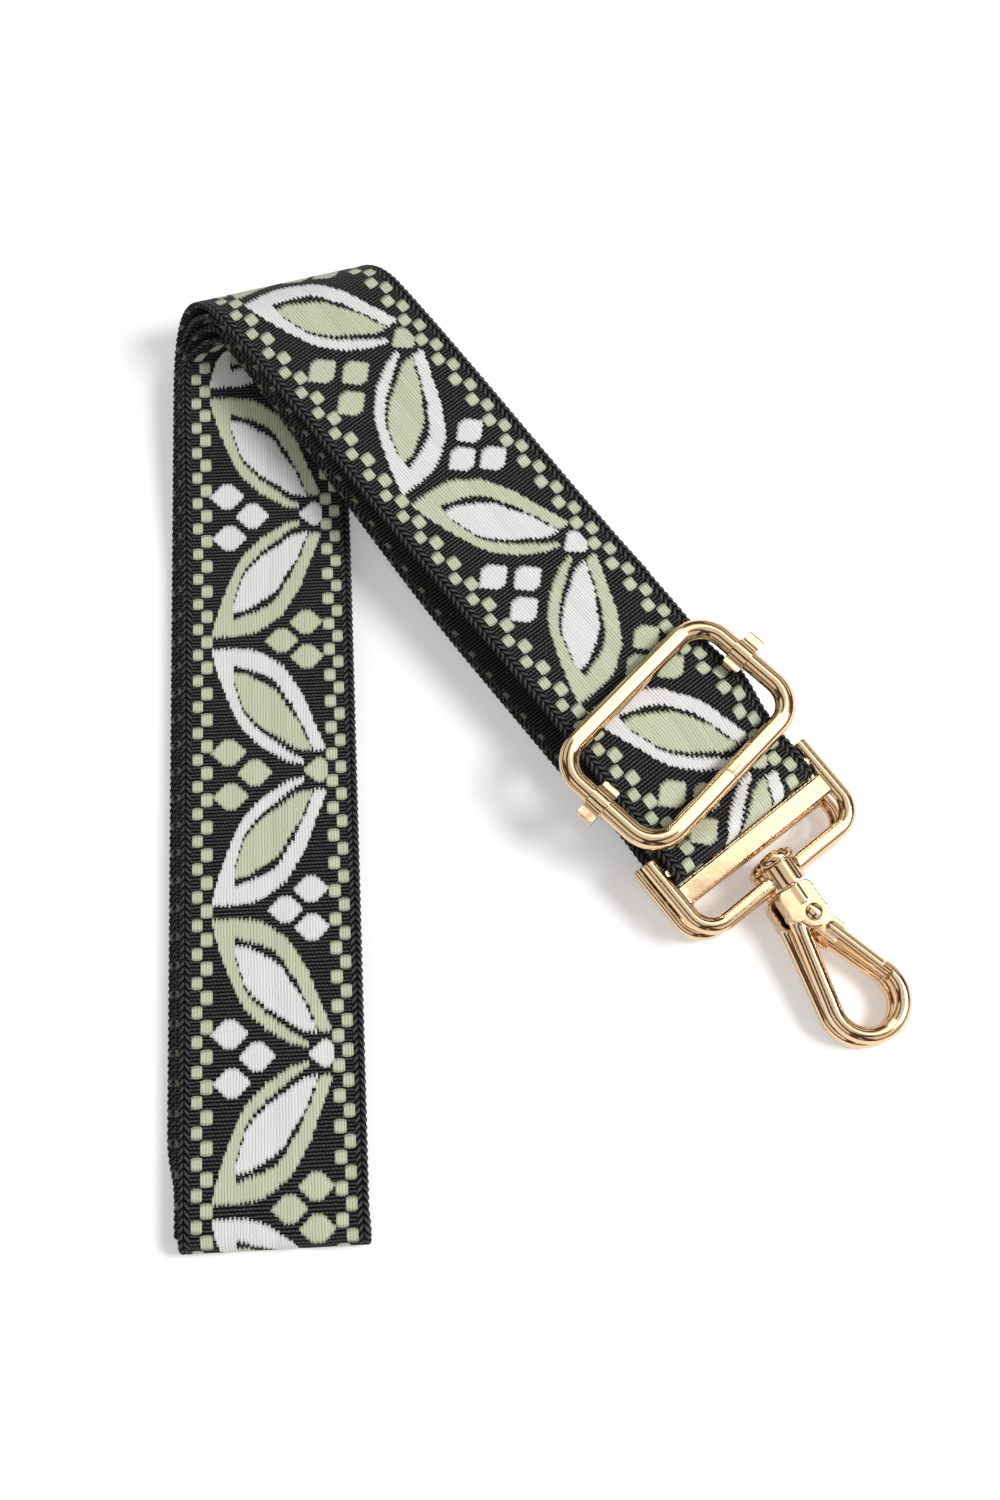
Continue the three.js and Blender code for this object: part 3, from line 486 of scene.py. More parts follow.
# Camera at the photograph's angle, 20 degrees off the vertical
CAMERA_PULL = 405.5
CAMERA_TILT = radians(20)
PHOTO_FOCUS = 1842.0
PHOTO_HEIGHT = 1500
SENSOR = 36
LOOK_AT = TO_PART - vec(-30.32, 83.97)
camera = link_object("camera", bpy.data.cameras.new("camera"))
camera.data.sensor_fit = "VERTICAL"
camera.data.sensor_height = SENSOR
camera.data.lens = SENSOR * PHOTO_FOCUS / PHOTO_HEIGHT
back_off = vec(0, -sin(CAMERA_TILT), cos(CAMERA_TILT)) * CAMERA_PULL
camera.location = Vector((LOOK_AT + back_off) * MM)
camera.rotation_euler = (CAMERA_TILT, 0, 0)
bpy.context.scene.camera = camera
bpy.context.scene.view_settings.view_transform = "Standard"


# Node trees. A value stands for a socket of a shader and is used in sums like a number
class Value:
    def __init__(self, shader, socket):
        self.shader, self.socket = shader, socket

    def __add__(self, other):
        return self.shader.math("ADD", self, other)

    def __sub__(self, other):
        return self.shader.math("SUBTRACT", self, other)

    def __mul__(self, other):
        return self.shader.math("MULTIPLY", self, other)

    def __truediv__(self, other):
        return self.shader.math("DIVIDE", self, other)

    def __mod__(self, other):
        return self.shader.math("FLOORED_MODULO", self, other)

    def __pow__(self, other):
        return self.shader.math("POWER", self, other)

    def __rsub__(self, other):
        return self.shader.math("SUBTRACT", other, self)

    def __floordiv__(self, other):
        return self.shader.math("FLOOR", self / other)

    def __abs__(self):
        return self.shader.math("ABSOLUTE", self)


def add_node(tree, kind, inputs, **settings):
    """Adds a node. Inputs go by place or name, each with a number, a colour or what it is linked to."""
    node = tree.nodes.new(kind)
    for key, setting in settings.items():
        setattr(node, key, setting)
    for key, value in inputs.items():
        connect(tree, node.inputs[key], value)
    return node


def connect(tree, socket, value):
    if isinstance(value, Value):
        value = value.socket
    if isinstance(value, bpy.types.NodeSocket):
        tree.links.new(value, socket)
    else:
        socket.default_value = (*value, 1.0) if socket.type == "RGBA" else value


class Shader:
    """The shader of a material or of the world."""

    def __init__(self, owner, end="Principled BSDF"):
        owner.use_nodes = True
        self.owner, self.tree = owner, owner.node_tree
        self.end = self.tree.nodes[end]

    def set(self, inputs):
        for key, value in inputs.items():
            connect(self.tree, self.end.inputs[key], value)
        return self.owner

    def node(self, kind, inputs, output=0, **settings):
        return Value(self, add_node(self.tree, "ShaderNode" + kind, inputs, **settings).outputs[output])

    def math(self, operation, *values, clamp=False):
        return self.node("Math", dict(enumerate(values)), operation=operation, use_clamp=clamp)

    def least(self, *values):
        return functools.reduce(lambda a, b: self.math("MINIMUM", a, b), values)

    def most(self, *values):
        return functools.reduce(lambda a, b: self.math("MAXIMUM", a, b), values)

    def share(self, value, low, high, to_low=0.0, to_high=1.0, kind="SMOOTHSTEP"):
        values = dict(enumerate((value, low, high, to_low, to_high)))
        return self.node("MapRange", values, interpolation_type=kind)

    def ramp(self, *values):
        return self.share(*values, kind="LINEAR")

    def wave(self, value, period):
        """Rounded ribs, from 0 in a groove to 1 on a crest."""
        return abs(self.math("SINE", value * (pi / period)))

    def curve(self, value, points, across, along):
        """A drawn line: points are (across, along) in mm."""
        node = add_node(self.tree, "ShaderNodeFloatCurve", {"Value": value / across})
        line = node.mapping.curves[0]
        spots = [(x / across, y / along) for x, y in points]
        line.points[0].location = spots[0]
        line.points[1].location = spots[-1]
        for spot in spots[1:-1]:
            line.points.new(*spot)
        for point in line.points:
            point.handle_type = "VECTOR"
        node.mapping.update()
        return Value(self, node.outputs[0]) * along

    def mix(self, factor, a, b):
        return self.node("Mix", {0: factor, 6: a, 7: b}, 2, data_type="RGBA")

    def noise(self, place, scale, detail=2.0):
        return self.node("TexNoise", {"Vector": place, "Scale": scale, "Detail": detail}, "Fac")

    def chance(self, *values):
        joined = self.node("CombineXYZ", dict(enumerate(values)))
        return self.node("TexWhiteNoise", {"Vector": joined}, "Value", noise_dimensions="3D")

    def bump(self, height, distance=MM, strength=1.0):
        return self.node("Bump", {"Strength": strength, "Distance": distance, "Height": height})

    def split(self, vector):
        node = add_node(self.tree, "ShaderNodeSeparateXYZ", {0: vector})
        return [Value(self, socket) for socket in node.outputs]

    def object_place(self):
        return self.node("TexCoord", {}, "Object")

    def web_places(self):
        """Places across and along the webbing in mm, from the piece's own map."""
        place = self.node("UVMap", {}, uv_map="web")
        return *self.split(place)[:2], place


def new_material(name):
    return Shader(bpy.data.materials.new(name))


# Colours of the webbing and of the metals
# Black yarn: a lit colour for rib crests and a painted-shade colour for the grooves between them; the painted
# shade is also the darkest of the thread's random specks
BLACK_LIT_RIB = (0.086, 0.085, 0.088)
BLACK_DARKEST_AND_GROOVE_SHADE = (0.0012, 0.0012, 0.0016)
THREAD_SHEEN = (0.035, 0.034, 0.037)
# Sage and white floats: each has a lit colour and a painted-shade copy for float edges and the gaps between
# threads; the dark sage also colours the sage dashes and specks on the back
SAGE = (0.73, 0.765, 0.56)
SAGE_DARK_AND_SHADED = (0.24, 0.29, 0.19)
WHITE = (0.96, 0.96, 0.95)
WHITE_SHADED = (0.50, 0.50, 0.50)
GOLD_DEEP = (0.77, 0.53, 0.31)
GOLD_LIGHT = (0.85, 0.62, 0.39)
STEEL_GREY = (0.6, 0.58, 0.55)

# Pattern sizes, in mm: one leaf unit runs from a base row to the next, its tip row in the middle
DOT_PERIOD = 6.154
UNIT = 10 * DOT_PERIOD
LEAF_HALF = UNIT / 2
LEAF_LONG = 31.0
RIB = 0.78
CROSSING = 0.8
CROSSING_STEP = 0.31
BACK_CROSSING = 0.55
BACK_LINE = 1.6
THREAD = 0.43
FINE_THREAD = 0.62
EDGE_LOOP = DOT_PERIOD / 4
LOOP_MIDDLE = 1.15
SELVEDGE = (2.15, 2.45)
JAG = 0.45
PAIR_JAG = 0.42
DOT_JAG = 0.25
STEEP = 20.0
EDGE_STEEP = 6.0
SWAP_STEEP = 40.0

# Lines of the leaf, of its open strand and of the strand's filling, as (across, along from the tip row)
LEAF_TOP = [
    (0, 31), (6.7, 30.5), (6.85, 28.2), (7.1, 27.1), (8.1, 23.4), (9.3, 19.7), (10.5, 16.5), (12.2, 12.3),
    (13.8, 9.6), (15.9, 7.3), (17.9, 5.4), (20.4, 3.8), (22.8, 2.3), (24.9, 1.65), (26.8, 1.3), (27.0, 4.4),
    (31.6, 4.4), (31.7, 31), (38, 31),
]
LEAF_BASE = [
    (0, 0), (6.6, 0), (6.7, 29.5), (11.8, 29.5), (15.2, 29.1), (17.9, 28.1), (20.4, 26.3), (22.8, 24.5),
    (24.5, 21.6), (26.5, 18.3), (27.7, 15.1), (29.2, 11.0), (30.6, 7.7), (31.5, 4.6), (31.7, 0), (38, 0),
]
STRAND_BASE = [
    (0, 31), (11.4, 31), (11.55, 21.6), (12.2, 19.2), (13.0, 16.4), (13.8, 14.0), (15.45, 11.7), (17.9, 9.1),
    (20.4, 7.2), (22.8, 5.3), (24.9, 3.7), (26.7, 2.9), (27.0, 0.5), (38, 0.5),
]
STRAND_TOP = [
    (0, 0), (11.4, 0), (11.6, 25.2), (14.6, 24.0), (17.5, 23.0), (20.0, 21.6), (21.6, 19.7), (22.8, 17.4),
    (24.5, 15.1), (25.3, 12.8), (26.9, 9.6), (27.7, 7.3), (28.4, 5.2), (29.0, 4.4), (38, 4.4),
]
FILL_TOP = [
    (0, 31), (11.4, 31), (11.5, 22.0), (12.2, 19.7), (13.0, 17.0), (13.8, 14.65), (15.45, 12.35), (18.3, 9.6),
    (20.4, 8.2), (22.8, 6.6), (24.9, 5.0), (26.9, 4.4), (28.6, 4.3), (28.7, 31), (38, 31),
]
FILL_BASE = [
    (0, 0), (11.4, 0), (11.5, 23.7), (14.2, 23.4), (16.3, 22.0), (18.7, 20.6), (21.2, 18.8), (22.8, 16.0),
    (24.5, 13.3), (26.1, 11.0), (26.9, 8.2), (28.6, 5.0), (28.7, 0), (38, 0),
]
# Diamonds as (across, along, half width), and edge dots as (across, half width, half length, shift)
TIP_DIAMONDS = ((10.5, 4.9, 3.9), (16.1, 0.0, 3.8), (10.9, -5.2, 3.9))
TIP_DIAMOND_LONG = 3.15
BASE_DIAMONDS = ((27.7, 4.2, 3.7), (22.3, 0.0, 3.7), (27.8, -4.1, 3.7))
BASE_DIAMOND_LONG = 3.0
DIAMOND_BLUNT = 1.0
DIAMOND_POINT = 0.25
EDGE_DOTS = ((3.75, 1.15, 1.42, -0.42), (5.75, 1.3, 1.6, 0.07), (32.7, 1.3, 1.5, -0.43), (34.6, 1.2, 1.5, 0.07))
EDGE_DOT_ROUND = 0.35
TIP_LEFT = 26.5
TIP_RIGHT = 31.9


def jacquard_material():
    """Woven face: black ribs, leaves, diamonds and edge dots floating lengthwise, chained selvedges."""
    t = new_material("woven_webbing")
    across, along, place = t.web_places()
    # Threads run lengthwise; each column of thread ends on its own rib
    column = across // THREAD
    at_column = (column + 0.5) * THREAD
    pair = t.math("PINGPONG", column, 1.0) - 0.5
    unit_no = (along + LEAF_HALF) // UNIT
    base_no = along // UNIT
    from_tip = along - unit_no * UNIT
    from_base = along - (base_no + 0.5) * UNIT
    reach = abs(from_tip) + ((t.chance(column, unit_no, 3.0) - 0.5) * JAG + pair * PAIR_JAG)

    def between(top, base):
        """How far inside two drawn lines a place is, lengthwise."""
        low, high = (t.curve(at_column, points, WEB_WIDTH, LEAF_LONG) for points in (top, base))
        return t.least(reach - low, high - reach)

    in_strand = t.least(between(LEAF_TOP, LEAF_BASE), 0.0 - between(STRAND_BASE, STRAND_TOP))
    in_fill = between(FILL_TOP, FILL_BASE)

    def diamonds(table, jagged, half_along):
        """Floats of the pointed dots: how far inside one a place is, lengthwise."""
        found = []
        for u, v, half_across in table:
            off = abs(at_column - u)
            tall = t.ramp(off, DIAMOND_BLUNT, half_across, half_along, DIAMOND_POINT)
            found.append(t.least(tall - abs(jagged - v), (half_across - off) * STEEP))
        return t.most(*found)

    jagged_tip = from_tip + pair * DOT_JAG
    tip_dots = diamonds(TIP_DIAMONDS, jagged_tip, TIP_DIAMOND_LONG)
    base_dots = diamonds(BASE_DIAMONDS, from_base + pair * DOT_JAG, BASE_DIAMOND_LONG)
    tip_tall = t.least(t.ramp(at_column, 26.4, 29.6, 0.3, 3.0), t.ramp(at_column, 30.6, TIP_RIGHT, 3.0, 1.7))
    tip_sides = t.least(at_column - TIP_LEFT, TIP_RIGHT - at_column) * STEEP
    tip = t.least(tip_tall - abs(jagged_tip), tip_sides)

    def edge_dots(u, half_across, half_along, shift):
        from_dot = (along + DOT_PERIOD * (0.5 - shift)) % DOT_PERIOD - DOT_PERIOD / 2
        off = abs(across - u)
        inside = half_along - (off / half_across) ** 3.0 * EDGE_DOT_ROUND - abs(from_dot)
        return t.least(inside, (half_across - off) * EDGE_STEEP)

    # Every second unit swaps its colours
    swap = t.math("PINGPONG", unit_no, 1.0)
    base_swap = t.math("PINGPONG", base_no, 1.0)
    plain, swapped = (0.5 - swap) * SWAP_STEEP, (swap - 0.5) * SWAP_STEEP
    tips = t.most(tip_dots, tip)
    sage_inside = t.most(
        t.least(in_strand, plain),
        t.least(in_fill, swapped),
        t.least(tips, swapped),
        t.least(base_dots, (base_swap - 0.5) * SWAP_STEEP),
        *(edge_dots(*row) for row in EDGE_DOTS),
    )
    white_inside = t.most(
        t.least(in_strand, swapped),
        t.least(in_fill, plain),
        t.least(tips, plain),
        t.least(base_dots, (0.5 - base_swap) * SWAP_STEEP),
    )
    inside = t.most(sage_inside, white_inside)
    floating = t.share(inside, -0.02, 0.06)
    is_sage = t.math("GREATER_THAN", sage_inside, white_inside)
    puff = t.share(inside, 0.0, 0.75)
    # Fine threads of the floats, a little uneven; they raise the bump, and the colour gets painted shade between
    # them
    thread = t.wave(across + (t.noise(place, 0.35) - 0.5) * 0.5, FINE_THREAD) ** 0.85
    bent = along + (t.noise(place, 0.9) - 0.5) * 0.35
    rib = t.wave(bent, RIB)
    crossing = t.wave(across + bent // RIB * CROSSING_STEP, CROSSING)
    # Chained selvedges
    from_edge = t.least(across, WEB_WIDTH - across)
    selvedge = t.share(from_edge, *SELVEDGE, 1.0, 0.0)
    from_loop = abs(from_edge - LOOP_MIDDLE)
    chain = t.wave(along + from_loop * 1.1, EDGE_LOOP)
    chain_split = t.share(from_loop, 0.0, 0.3)

    def chosen(mask, on, off):
        return off * (1.0 - mask) + on * mask

    black_height = chosen(selvedge, chain * 0.36 + chain_split * 0.2, rib * 0.3 + crossing * 0.07)
    height = chosen(floating, puff * 0.34 + thread * 0.06 + 0.1, black_height)
    # Colours, with painted light and shade: floats darker towards their edges and between threads, rib and chain
    # crests lighter than their shaded grooves; the streaks and the fray are random
    streak = t.chance(column, 1.0, 7.0) * 0.16 + t.noise(place, 0.12, 3.0) * 0.12
    # Painted shade on the floats: darker towards their edges and between threads, less random streaks
    float_shade_and_streaks = t.math("SUBTRACT", (thread * 0.5 + puff * 0.5) * 1.08, streak, clamp=True)
    frayed = t.noise(place, 2.2, 3.0) * 1.1 + 0.4
    # Rib crests and crossings, and the selvedge's chain loops, are painted lighter, and their grooves and splits
    # are painted as shade; the fray is random
    rib_shade_and_fray = t.share(rib, 0.45, 1.0) * (crossing * 0.7 + 0.3) * frayed
    chain_shade_and_fray = t.share(chain, 0.4, 1.0) * (chain_split * 0.9 + 0.1) * frayed
    black_shade_and_fray = t.most(rib_shade_and_fray * (1.0 - selvedge), chain_shade_and_fray * selvedge)
    floats = t.mix(is_sage, t.mix(float_shade_and_streaks, WHITE_SHADED, WHITE), t.mix(float_shade_and_streaks, SAGE_DARK_AND_SHADED, SAGE))
    return t.set({
        "Base Color": t.mix(floating, t.mix(black_shade_and_fray, BLACK_DARKEST_AND_GROOVE_SHADE, BLACK_LIT_RIB), floats),
        "Roughness": t.ramp(floating, 0.0, 1.0, 0.62, 0.72),
        "Normal": t.bump(height),
        "Specular IOR Level": t.ramp(floating, 0.0, 1.0, 0.1, 0.3),
        "Sheen Weight": 0.03,
        "Sheen Roughness": 0.5,
    })


def back_material():
    """Plain back of the webbing: black ribs with faint lines of bound-in thread."""
    t = new_material("webbing_back")
    across, along, place = t.web_places()
    rib = t.wave(along, RIB)
    crossing = t.wave(across, BACK_CROSSING)
    specks = t.share(t.noise(place, 0.5, 3.0), 0.6, 0.68)
    line = t.share(t.wave(across, BACK_LINE), 0.93, 0.98)
    # Rib crests and crossings are painted lighter, and the grooves are painted as shade
    black = t.mix(t.share(rib, 0.3, 1.0) * (crossing * 0.6 + 0.4), BLACK_DARKEST_AND_GROOVE_SHADE, BLACK_LIT_RIB)
    from_edge = t.least(across, WEB_WIDTH - across)
    from_dot = along % DOT_PERIOD - DOT_PERIOD / 2
    edge_band = t.share(from_edge, 0.1, 0.2) * t.share(from_edge, 0.9, 1.1, 1.0, 0.0)
    dash = t.share(abs(from_dot), 0.6, 0.8, 1.0, 0.0) * edge_band
    return t.set({
        "Base Color": t.mix(t.most(specks * line * 0.5, dash), black, SAGE_DARK_AND_SHADED),
        "Normal": t.bump(rib * 0.28 + crossing * 0.1),
        "Roughness": 0.7,
        "Specular IOR Level": 0.1,
        "Sheen Weight": 0.03,
    })


def gold_material():
    """Polished pale gold plating with faint polishing marks and slow waves."""
    t = new_material("pale_gold")
    place = t.object_place()
    slow = t.noise(place, 260.0)
    marks = t.noise(place, 3200.0)
    return t.set({
        "Base Color": t.mix(slow, GOLD_DEEP, GOLD_LIGHT),
        "Roughness": t.ramp(marks, 0.3, 0.75, 0.07, 0.15),
        "Normal": t.bump(slow * 0.5 + marks * 0.02, 0.1 * MM, 0.5),
        "Metallic": 1.0,
    })


def steel_material():
    t = new_material("spring_steel")
    marks = t.noise(t.object_place(), 2500.0)
    return t.set({"Base Color": STEEL_GREY, "Roughness": t.ramp(marks, 0.3, 0.7, 0.22, 0.36), "Metallic": 1.0})


def thread_material():
    t = new_material("thread")
    place = t.object_place()
    return t.set({
        "Base Color": t.mix(t.noise(place, 1500.0), BLACK_DARKEST_AND_GROOVE_SHADE, THREAD_SHEEN),
        "Normal": t.bump(t.noise(place, 2500.0), 0.1 * MM, 0.6),
        "Roughness": 0.6,
    })


WEB_FACE = jacquard_material()
WEB_BACK = back_material()
GOLD = gold_material()
STEEL = steel_material()
THREAD_BLACK = thread_material()


def link_mesh(name, mesh, materials=()):
    for material in materials:
        mesh.materials.append(material)
    return link_object(name, mesh)


def dress(piece, body, node):
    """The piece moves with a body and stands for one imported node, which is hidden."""
    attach(piece, body)
    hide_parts(node)


def skin(count, sides, closed=False):
    """Faces of a tube of count rings, with its two ends unless it is closed."""
    faces = []
    for i in range(count if closed else count - 1):
        j = (i + 1) % count
        for k in range(sides):
            n = (k + 1) % sides
            faces.append((i * sides + k, i * sides + n, j * sides + n, j * sides + k))
    if not closed:
        faces.append(tuple(range(sides))[::-1])
        faces.append(tuple((count - 1) * sides + k for k in range(sides)))
    return faces


# Cross-section of the webbing: distance from the edge, and height over the middle of each face
SECTION = [
    (0.0, 0.0), (0.12, 0.28), (0.45, 0.54), (0.8, 0.62), (1.15, 0.54), (1.6, 0.63), (2.2, 0.6), (4.0, 0.58),
    (11.0, 0.6),
]
SECTION_MIDDLE = (HALF_WIDTH, 0.6)
UNDER = [(0.12, 0.28), (0.5, 0.58), (1.2, 0.62)]
# About four rows to an edge loop, so that the edges can carry their loops
ROW_STEP = 0.37
EDGE_BULGE = 0.34
EDGE_SINK = 0.2
EDGE_REACH = 1.6
EDGE_LIFT = 0.35


def fine_rows(rows, starts):
    """The rows at an even step, ROW_STEP apart: both edges, the face's way and the places."""
    middle = [0.0]
    for before, after in zip(rows, rows[1:]):
        middle.append(middle[-1] + np.linalg.norm((after[0] + after[1] - before[0] - before[1]) / 2))
    at = np.linspace(0, middle[-1], max(2, round(middle[-1] / ROW_STEP)) + 1)
    columns = [np.array([row[k] for row in rows]) for k in range(3)] + [np.asarray(starts)]
    edge_a, edge_b, ups, places = (
        np.stack([np.interp(at, middle, column[:, j]) for j in range(column.shape[1])], 1) for column in columns
    )
    return edge_a, edge_b, ups / np.linalg.norm(ups, axis=1)[:, None], places


def webbing_mesh(name, rows, starts, shape=None):
    """A closed strip through the rows; starts gives each edge's place along the pattern, in mm."""
    edge_a, edge_b, faces_up, places = fine_rows(rows, starts)
    if shape:
        edge_a, edge_b = shape(edge_a), shape(edge_b)
    top = SECTION + [SECTION_MIDDLE] + [(WEB_WIDTH - u, h) for u, h in reversed(SECTION)]
    under = [(WEB_WIDTH - u, -h) for u, h in UNDER] + [(u, -h) for u, h in reversed(UNDER)]
    loop = np.array(top + under)
    ring, count = len(loop), len(edge_a)
    flat = np.broadcast_to(loop[:, 0], (count, ring))
    across = flat.copy()
    lift = np.broadcast_to(loop[:, 1], (count, ring)).copy()
    # Edge loops: the outer threads bulge once per loop, shifted from edge to edge
    for side, place in enumerate(places.T):
        bulge = EDGE_BULGE * np.abs(np.sin(pi * (place / EDGE_LOOP + 0.5 * side))) - EDGE_SINK
        near = np.clip(1 - (WEB_WIDTH - across if side else across) / EDGE_REACH, 0, 1)
        across += bulge[:, None] * near * (1 if side else -1)
        lift += bulge[:, None] * near * EDGE_LIFT * np.sign(loop[:, 1])
    share_of = (across / WEB_WIDTH)[..., None]
    points = edge_a[:, None] * (1 - share_of) + edge_b[:, None] * share_of + faces_up[:, None] * lift[..., None]
    points = ((points + TO_PART) * MM).reshape(-1, 3)
    fixed = loop[:, 0] / WEB_WIDTH
    along = places[:, :1] * (1 - fixed) + places[:, 1:] * fixed
    mesh = bpy.data.meshes.new(name)
    mesh.from_pydata(points.tolist(), [], skin(count, ring))
    # Slot 0 is the patterned face, slot 1 the back and both ends
    kinds = [int(k >= len(top) - 1) for k in range(ring)]
    mesh.polygons.foreach_set("material_index", kinds * (count - 1) + [1, 1])
    corners = np.zeros(len(mesh.loops), dtype=int)
    mesh.loops.foreach_get("vertex_index", corners)
    spots = np.stack([flat.reshape(-1), along.reshape(-1)], -1)[corners]
    mesh.uv_layers.new(name="web").data.foreach_set("uv", spots.reshape(-1))
    mesh.polygons.foreach_set("use_smooth", [True] * len(mesh.polygons))
    bm = bmesh.new()
    bm.from_mesh(mesh)
    if bm.calc_volume(signed=True) < 0:
        bmesh.ops.reverse_faces(bm, faces=bm.faces)
    bm.to_mesh(mesh)
    bm.free()
    return link_mesh(name, mesh, [WEB_FACE, WEB_BACK])


def travelled(rows):
    """Length run along both edges, from the first row."""
    steps = [[np.linalg.norm(after[k] - before[k]) for k in (0, 1)] for before, after in zip(rows, rows[1:])]
    return np.concatenate([np.zeros((1, 2)), np.cumsum(steps, axis=0)])


# Places along the pattern: exact on the two runs that show, evened out where the webbing is hidden
starts = travelled(strap_rows)


def even_out(begin, end):
    """Lets both edges' lengths meet again over a stretch that doesn't show."""
    apart = starts[end, 0] - starts[end, 1]
    part = np.clip((np.arange(len(starts)) - begin) / (end - begin), 0, 1)
    starts[:, 0] -= apart / 2 * part
    starts[:, 1] += apart / 2 * part


fourth_at = len(first) + len(FOOT_OUT)
third_at = fourth_at + len(fourth) + len(return_rows())
third_ramp = third_at + 1 + 2 * FOLD_ROWS
second_at = third_at + len(third) + len(FOOT_IN)
hidden = len(first) - BEFORE_FOLD
even_out(hidden, hidden + RAMP_ROWS + 1)
even_out(fourth_at + BEFORE_FOLD, fourth_at + LAYER_ROWS)
even_out(third_ramp, third_ramp + RAMP_ROWS + 1)
even_out(second_at + BEFORE_FOLD, second_at + LAYER_ROWS)
# The hidden stretch between both runs takes up what is left over between their leaf units
TIP_ON_SLANT = 79.3
TIP_ON_UPRIGHT = 443.6
whole_units = 2 * UNIT * round((TIP_ON_UPRIGHT - TIP_ON_SLANT) / (2 * UNIT))
places = starts - TIP_ON_SLANT
places[fourth_at:] = starts[fourth_at:] - TIP_ON_UPRIGHT + whole_units
left_over = (places[fourth_at] - places[fourth_at - 1] - (starts[fourth_at] - starts[fourth_at - 1])).mean()
spread = np.clip((np.arange(fourth_at) - hidden) / (fourth_at - 1 - hidden), 0, 1)
places[:fourth_at] += left_over * spread[:, None]


# Frames of the hardware: local x towards the left edge, y away from the upright arm, z up
class Seat:
    def __init__(self, origin, way, lift=0.0):
        self.y = unit(way)
        self.x = unit(np.cross(self.y, UP))
        self.z = unit(np.cross(self.x, self.y))
        self.origin = origin + self.z * lift

    def at(self, x, y, z=0.0):
        return self.origin + self.toward(x, y, z)

    def toward(self, x, y, z=0.0):
        return self.x * x + self.y * y + self.z * z

    def moved(self, x, y, z=0.0, turn=0.0):
        other = copy.copy(self)
        c, s = cos(turn), sin(turn)
        other.origin = self.at(x, y, z)
        other.x, other.y = self.toward(c, s), self.toward(-s, c)
        return other

    def place(self, points):
        points = np.asarray(points, float)
        return (self.origin + points @ np.array([self.x, self.y, self.z]) + TO_PART) * MM


# Solids as (points, faces) in a seat's own mm
NEARLY_UPRIGHT = 0.9
EDGE_LEFT = 0.02


def wire(points, radius, closed=False, sides=28):
    points = [np.asarray(p, float) for p in points]
    count = len(points)
    radii = radius if isinstance(radius, list) else [radius] * count
    out = []
    for i, point in enumerate(points):
        before = points[(i - 1) % count if closed else max(i - 1, 0)]
        after = points[(i + 1) % count if closed else min(i + 1, count - 1)]
        way = unit(after - before)
        ref = vec(1, 0) if abs(way[2]) > NEARLY_UPRIGHT else UP
        v = unit(ref - way * (ref @ way))
        u = np.cross(v, way)
        for k in range(sides):
            angle = 2 * pi * (k + 0.5) / sides
            out.append(point + u * radii[i] * cos(angle) + v * radii[i] * sin(angle))
    return np.array(out), skin(count, sides, closed)


def lathe(profile, sides=48):
    """A turned solid about local y; the profile is (radius, y) from one end of the axis to the other."""
    angles = [2 * pi * k / sides for k in range(sides)]
    out = [(r * cos(angle), y, r * sin(angle)) for r, y in profile for angle in angles]
    return np.array(out), skin(len(profile), sides)


def rod(radius, start, end):
    return lathe([(radius, start), (radius, end)])


def ball(centre, radius):
    rows = [(radius * sin(a), -radius * cos(a)) for a in np.linspace(0.12, pi - 0.12, 13)]
    points, faces = lathe(rows, 24)
    return points + centre, faces


def rounded_block(width, depth, height, corner):
    """A block with round upright edges, centred on the seat."""
    outline = []
    for cx, cy, a0 in ((1, 1, 0), (-1, 1, 90), (-1, -1, 180), (1, -1, 270)):
        for a in shares(8):
            angle = radians(a0 + 90 * a)
            x = cx * (width / 2 - corner) + corner * cos(angle)
            y = cy * (depth / 2 - corner) + corner * sin(angle)
            outline.append((x, y))
    points = [(x, y, z) for z in (-height / 2, height / 2) for x, y in outline]
    return np.array(points), skin(2, len(outline))


def round_block(radius, height):
    return rounded_block(2 * radius, 2 * radius, height, radius - EDGE_LEFT)


def box(width, depth, height, centre=(0, 0, 0)):
    points, faces = rounded_block(width, depth, height, min(width, depth) * EDGE_LEFT)
    return points + np.array(centre, float), faces


def shifted(solid, x=0.0, y=0.0, z=0.0, spin=None):
    points, faces = solid
    if spin is not None:
        points = points @ np.array(spin, float).T
    return points + vec(x, y, z), faces


LAID = ((1, 0, 0), (0, 0, -1), (0, 1, 0))


def turn_matrix(angle):
    c, s = cos(angle), sin(angle)
    return ((c, -s, 0), (s, c, 0), (0, 0, 1))


def raw_object(name, seat, solids):
    mesh = bpy.data.meshes.new(name)
    bm = bmesh.new()
    for points, faces in solids:
        made = [bm.verts.new(Vector(p)) for p in seat.place(points)]
        part = [bm.faces.new([made[i] for i in f]) for f in faces]
        bmesh.ops.recalc_face_normals(bm, faces=part)
    bm.to_mesh(mesh)
    bm.free()
    return link_mesh(name, mesh)


def settle(piece, kind, inputs=None, **settings):
    """Applies a modifier, with its settings and a node group's inputs by identifier, and keeps a plain mesh."""
    modifier = piece.modifiers.new(kind.lower(), kind)
    for key, setting in settings.items():
        setattr(modifier, key, setting)
    for identifier, value in (inputs or {}).items():
        modifier[identifier] = value
    depsgraph = bpy.context.evaluated_depsgraph_get()
    mesh = bpy.data.meshes.new_from_object(piece.evaluated_get(depsgraph))
    piece.modifiers.clear()
    old = piece.data
    piece.data = mesh
    bpy.data.meshes.remove(old)


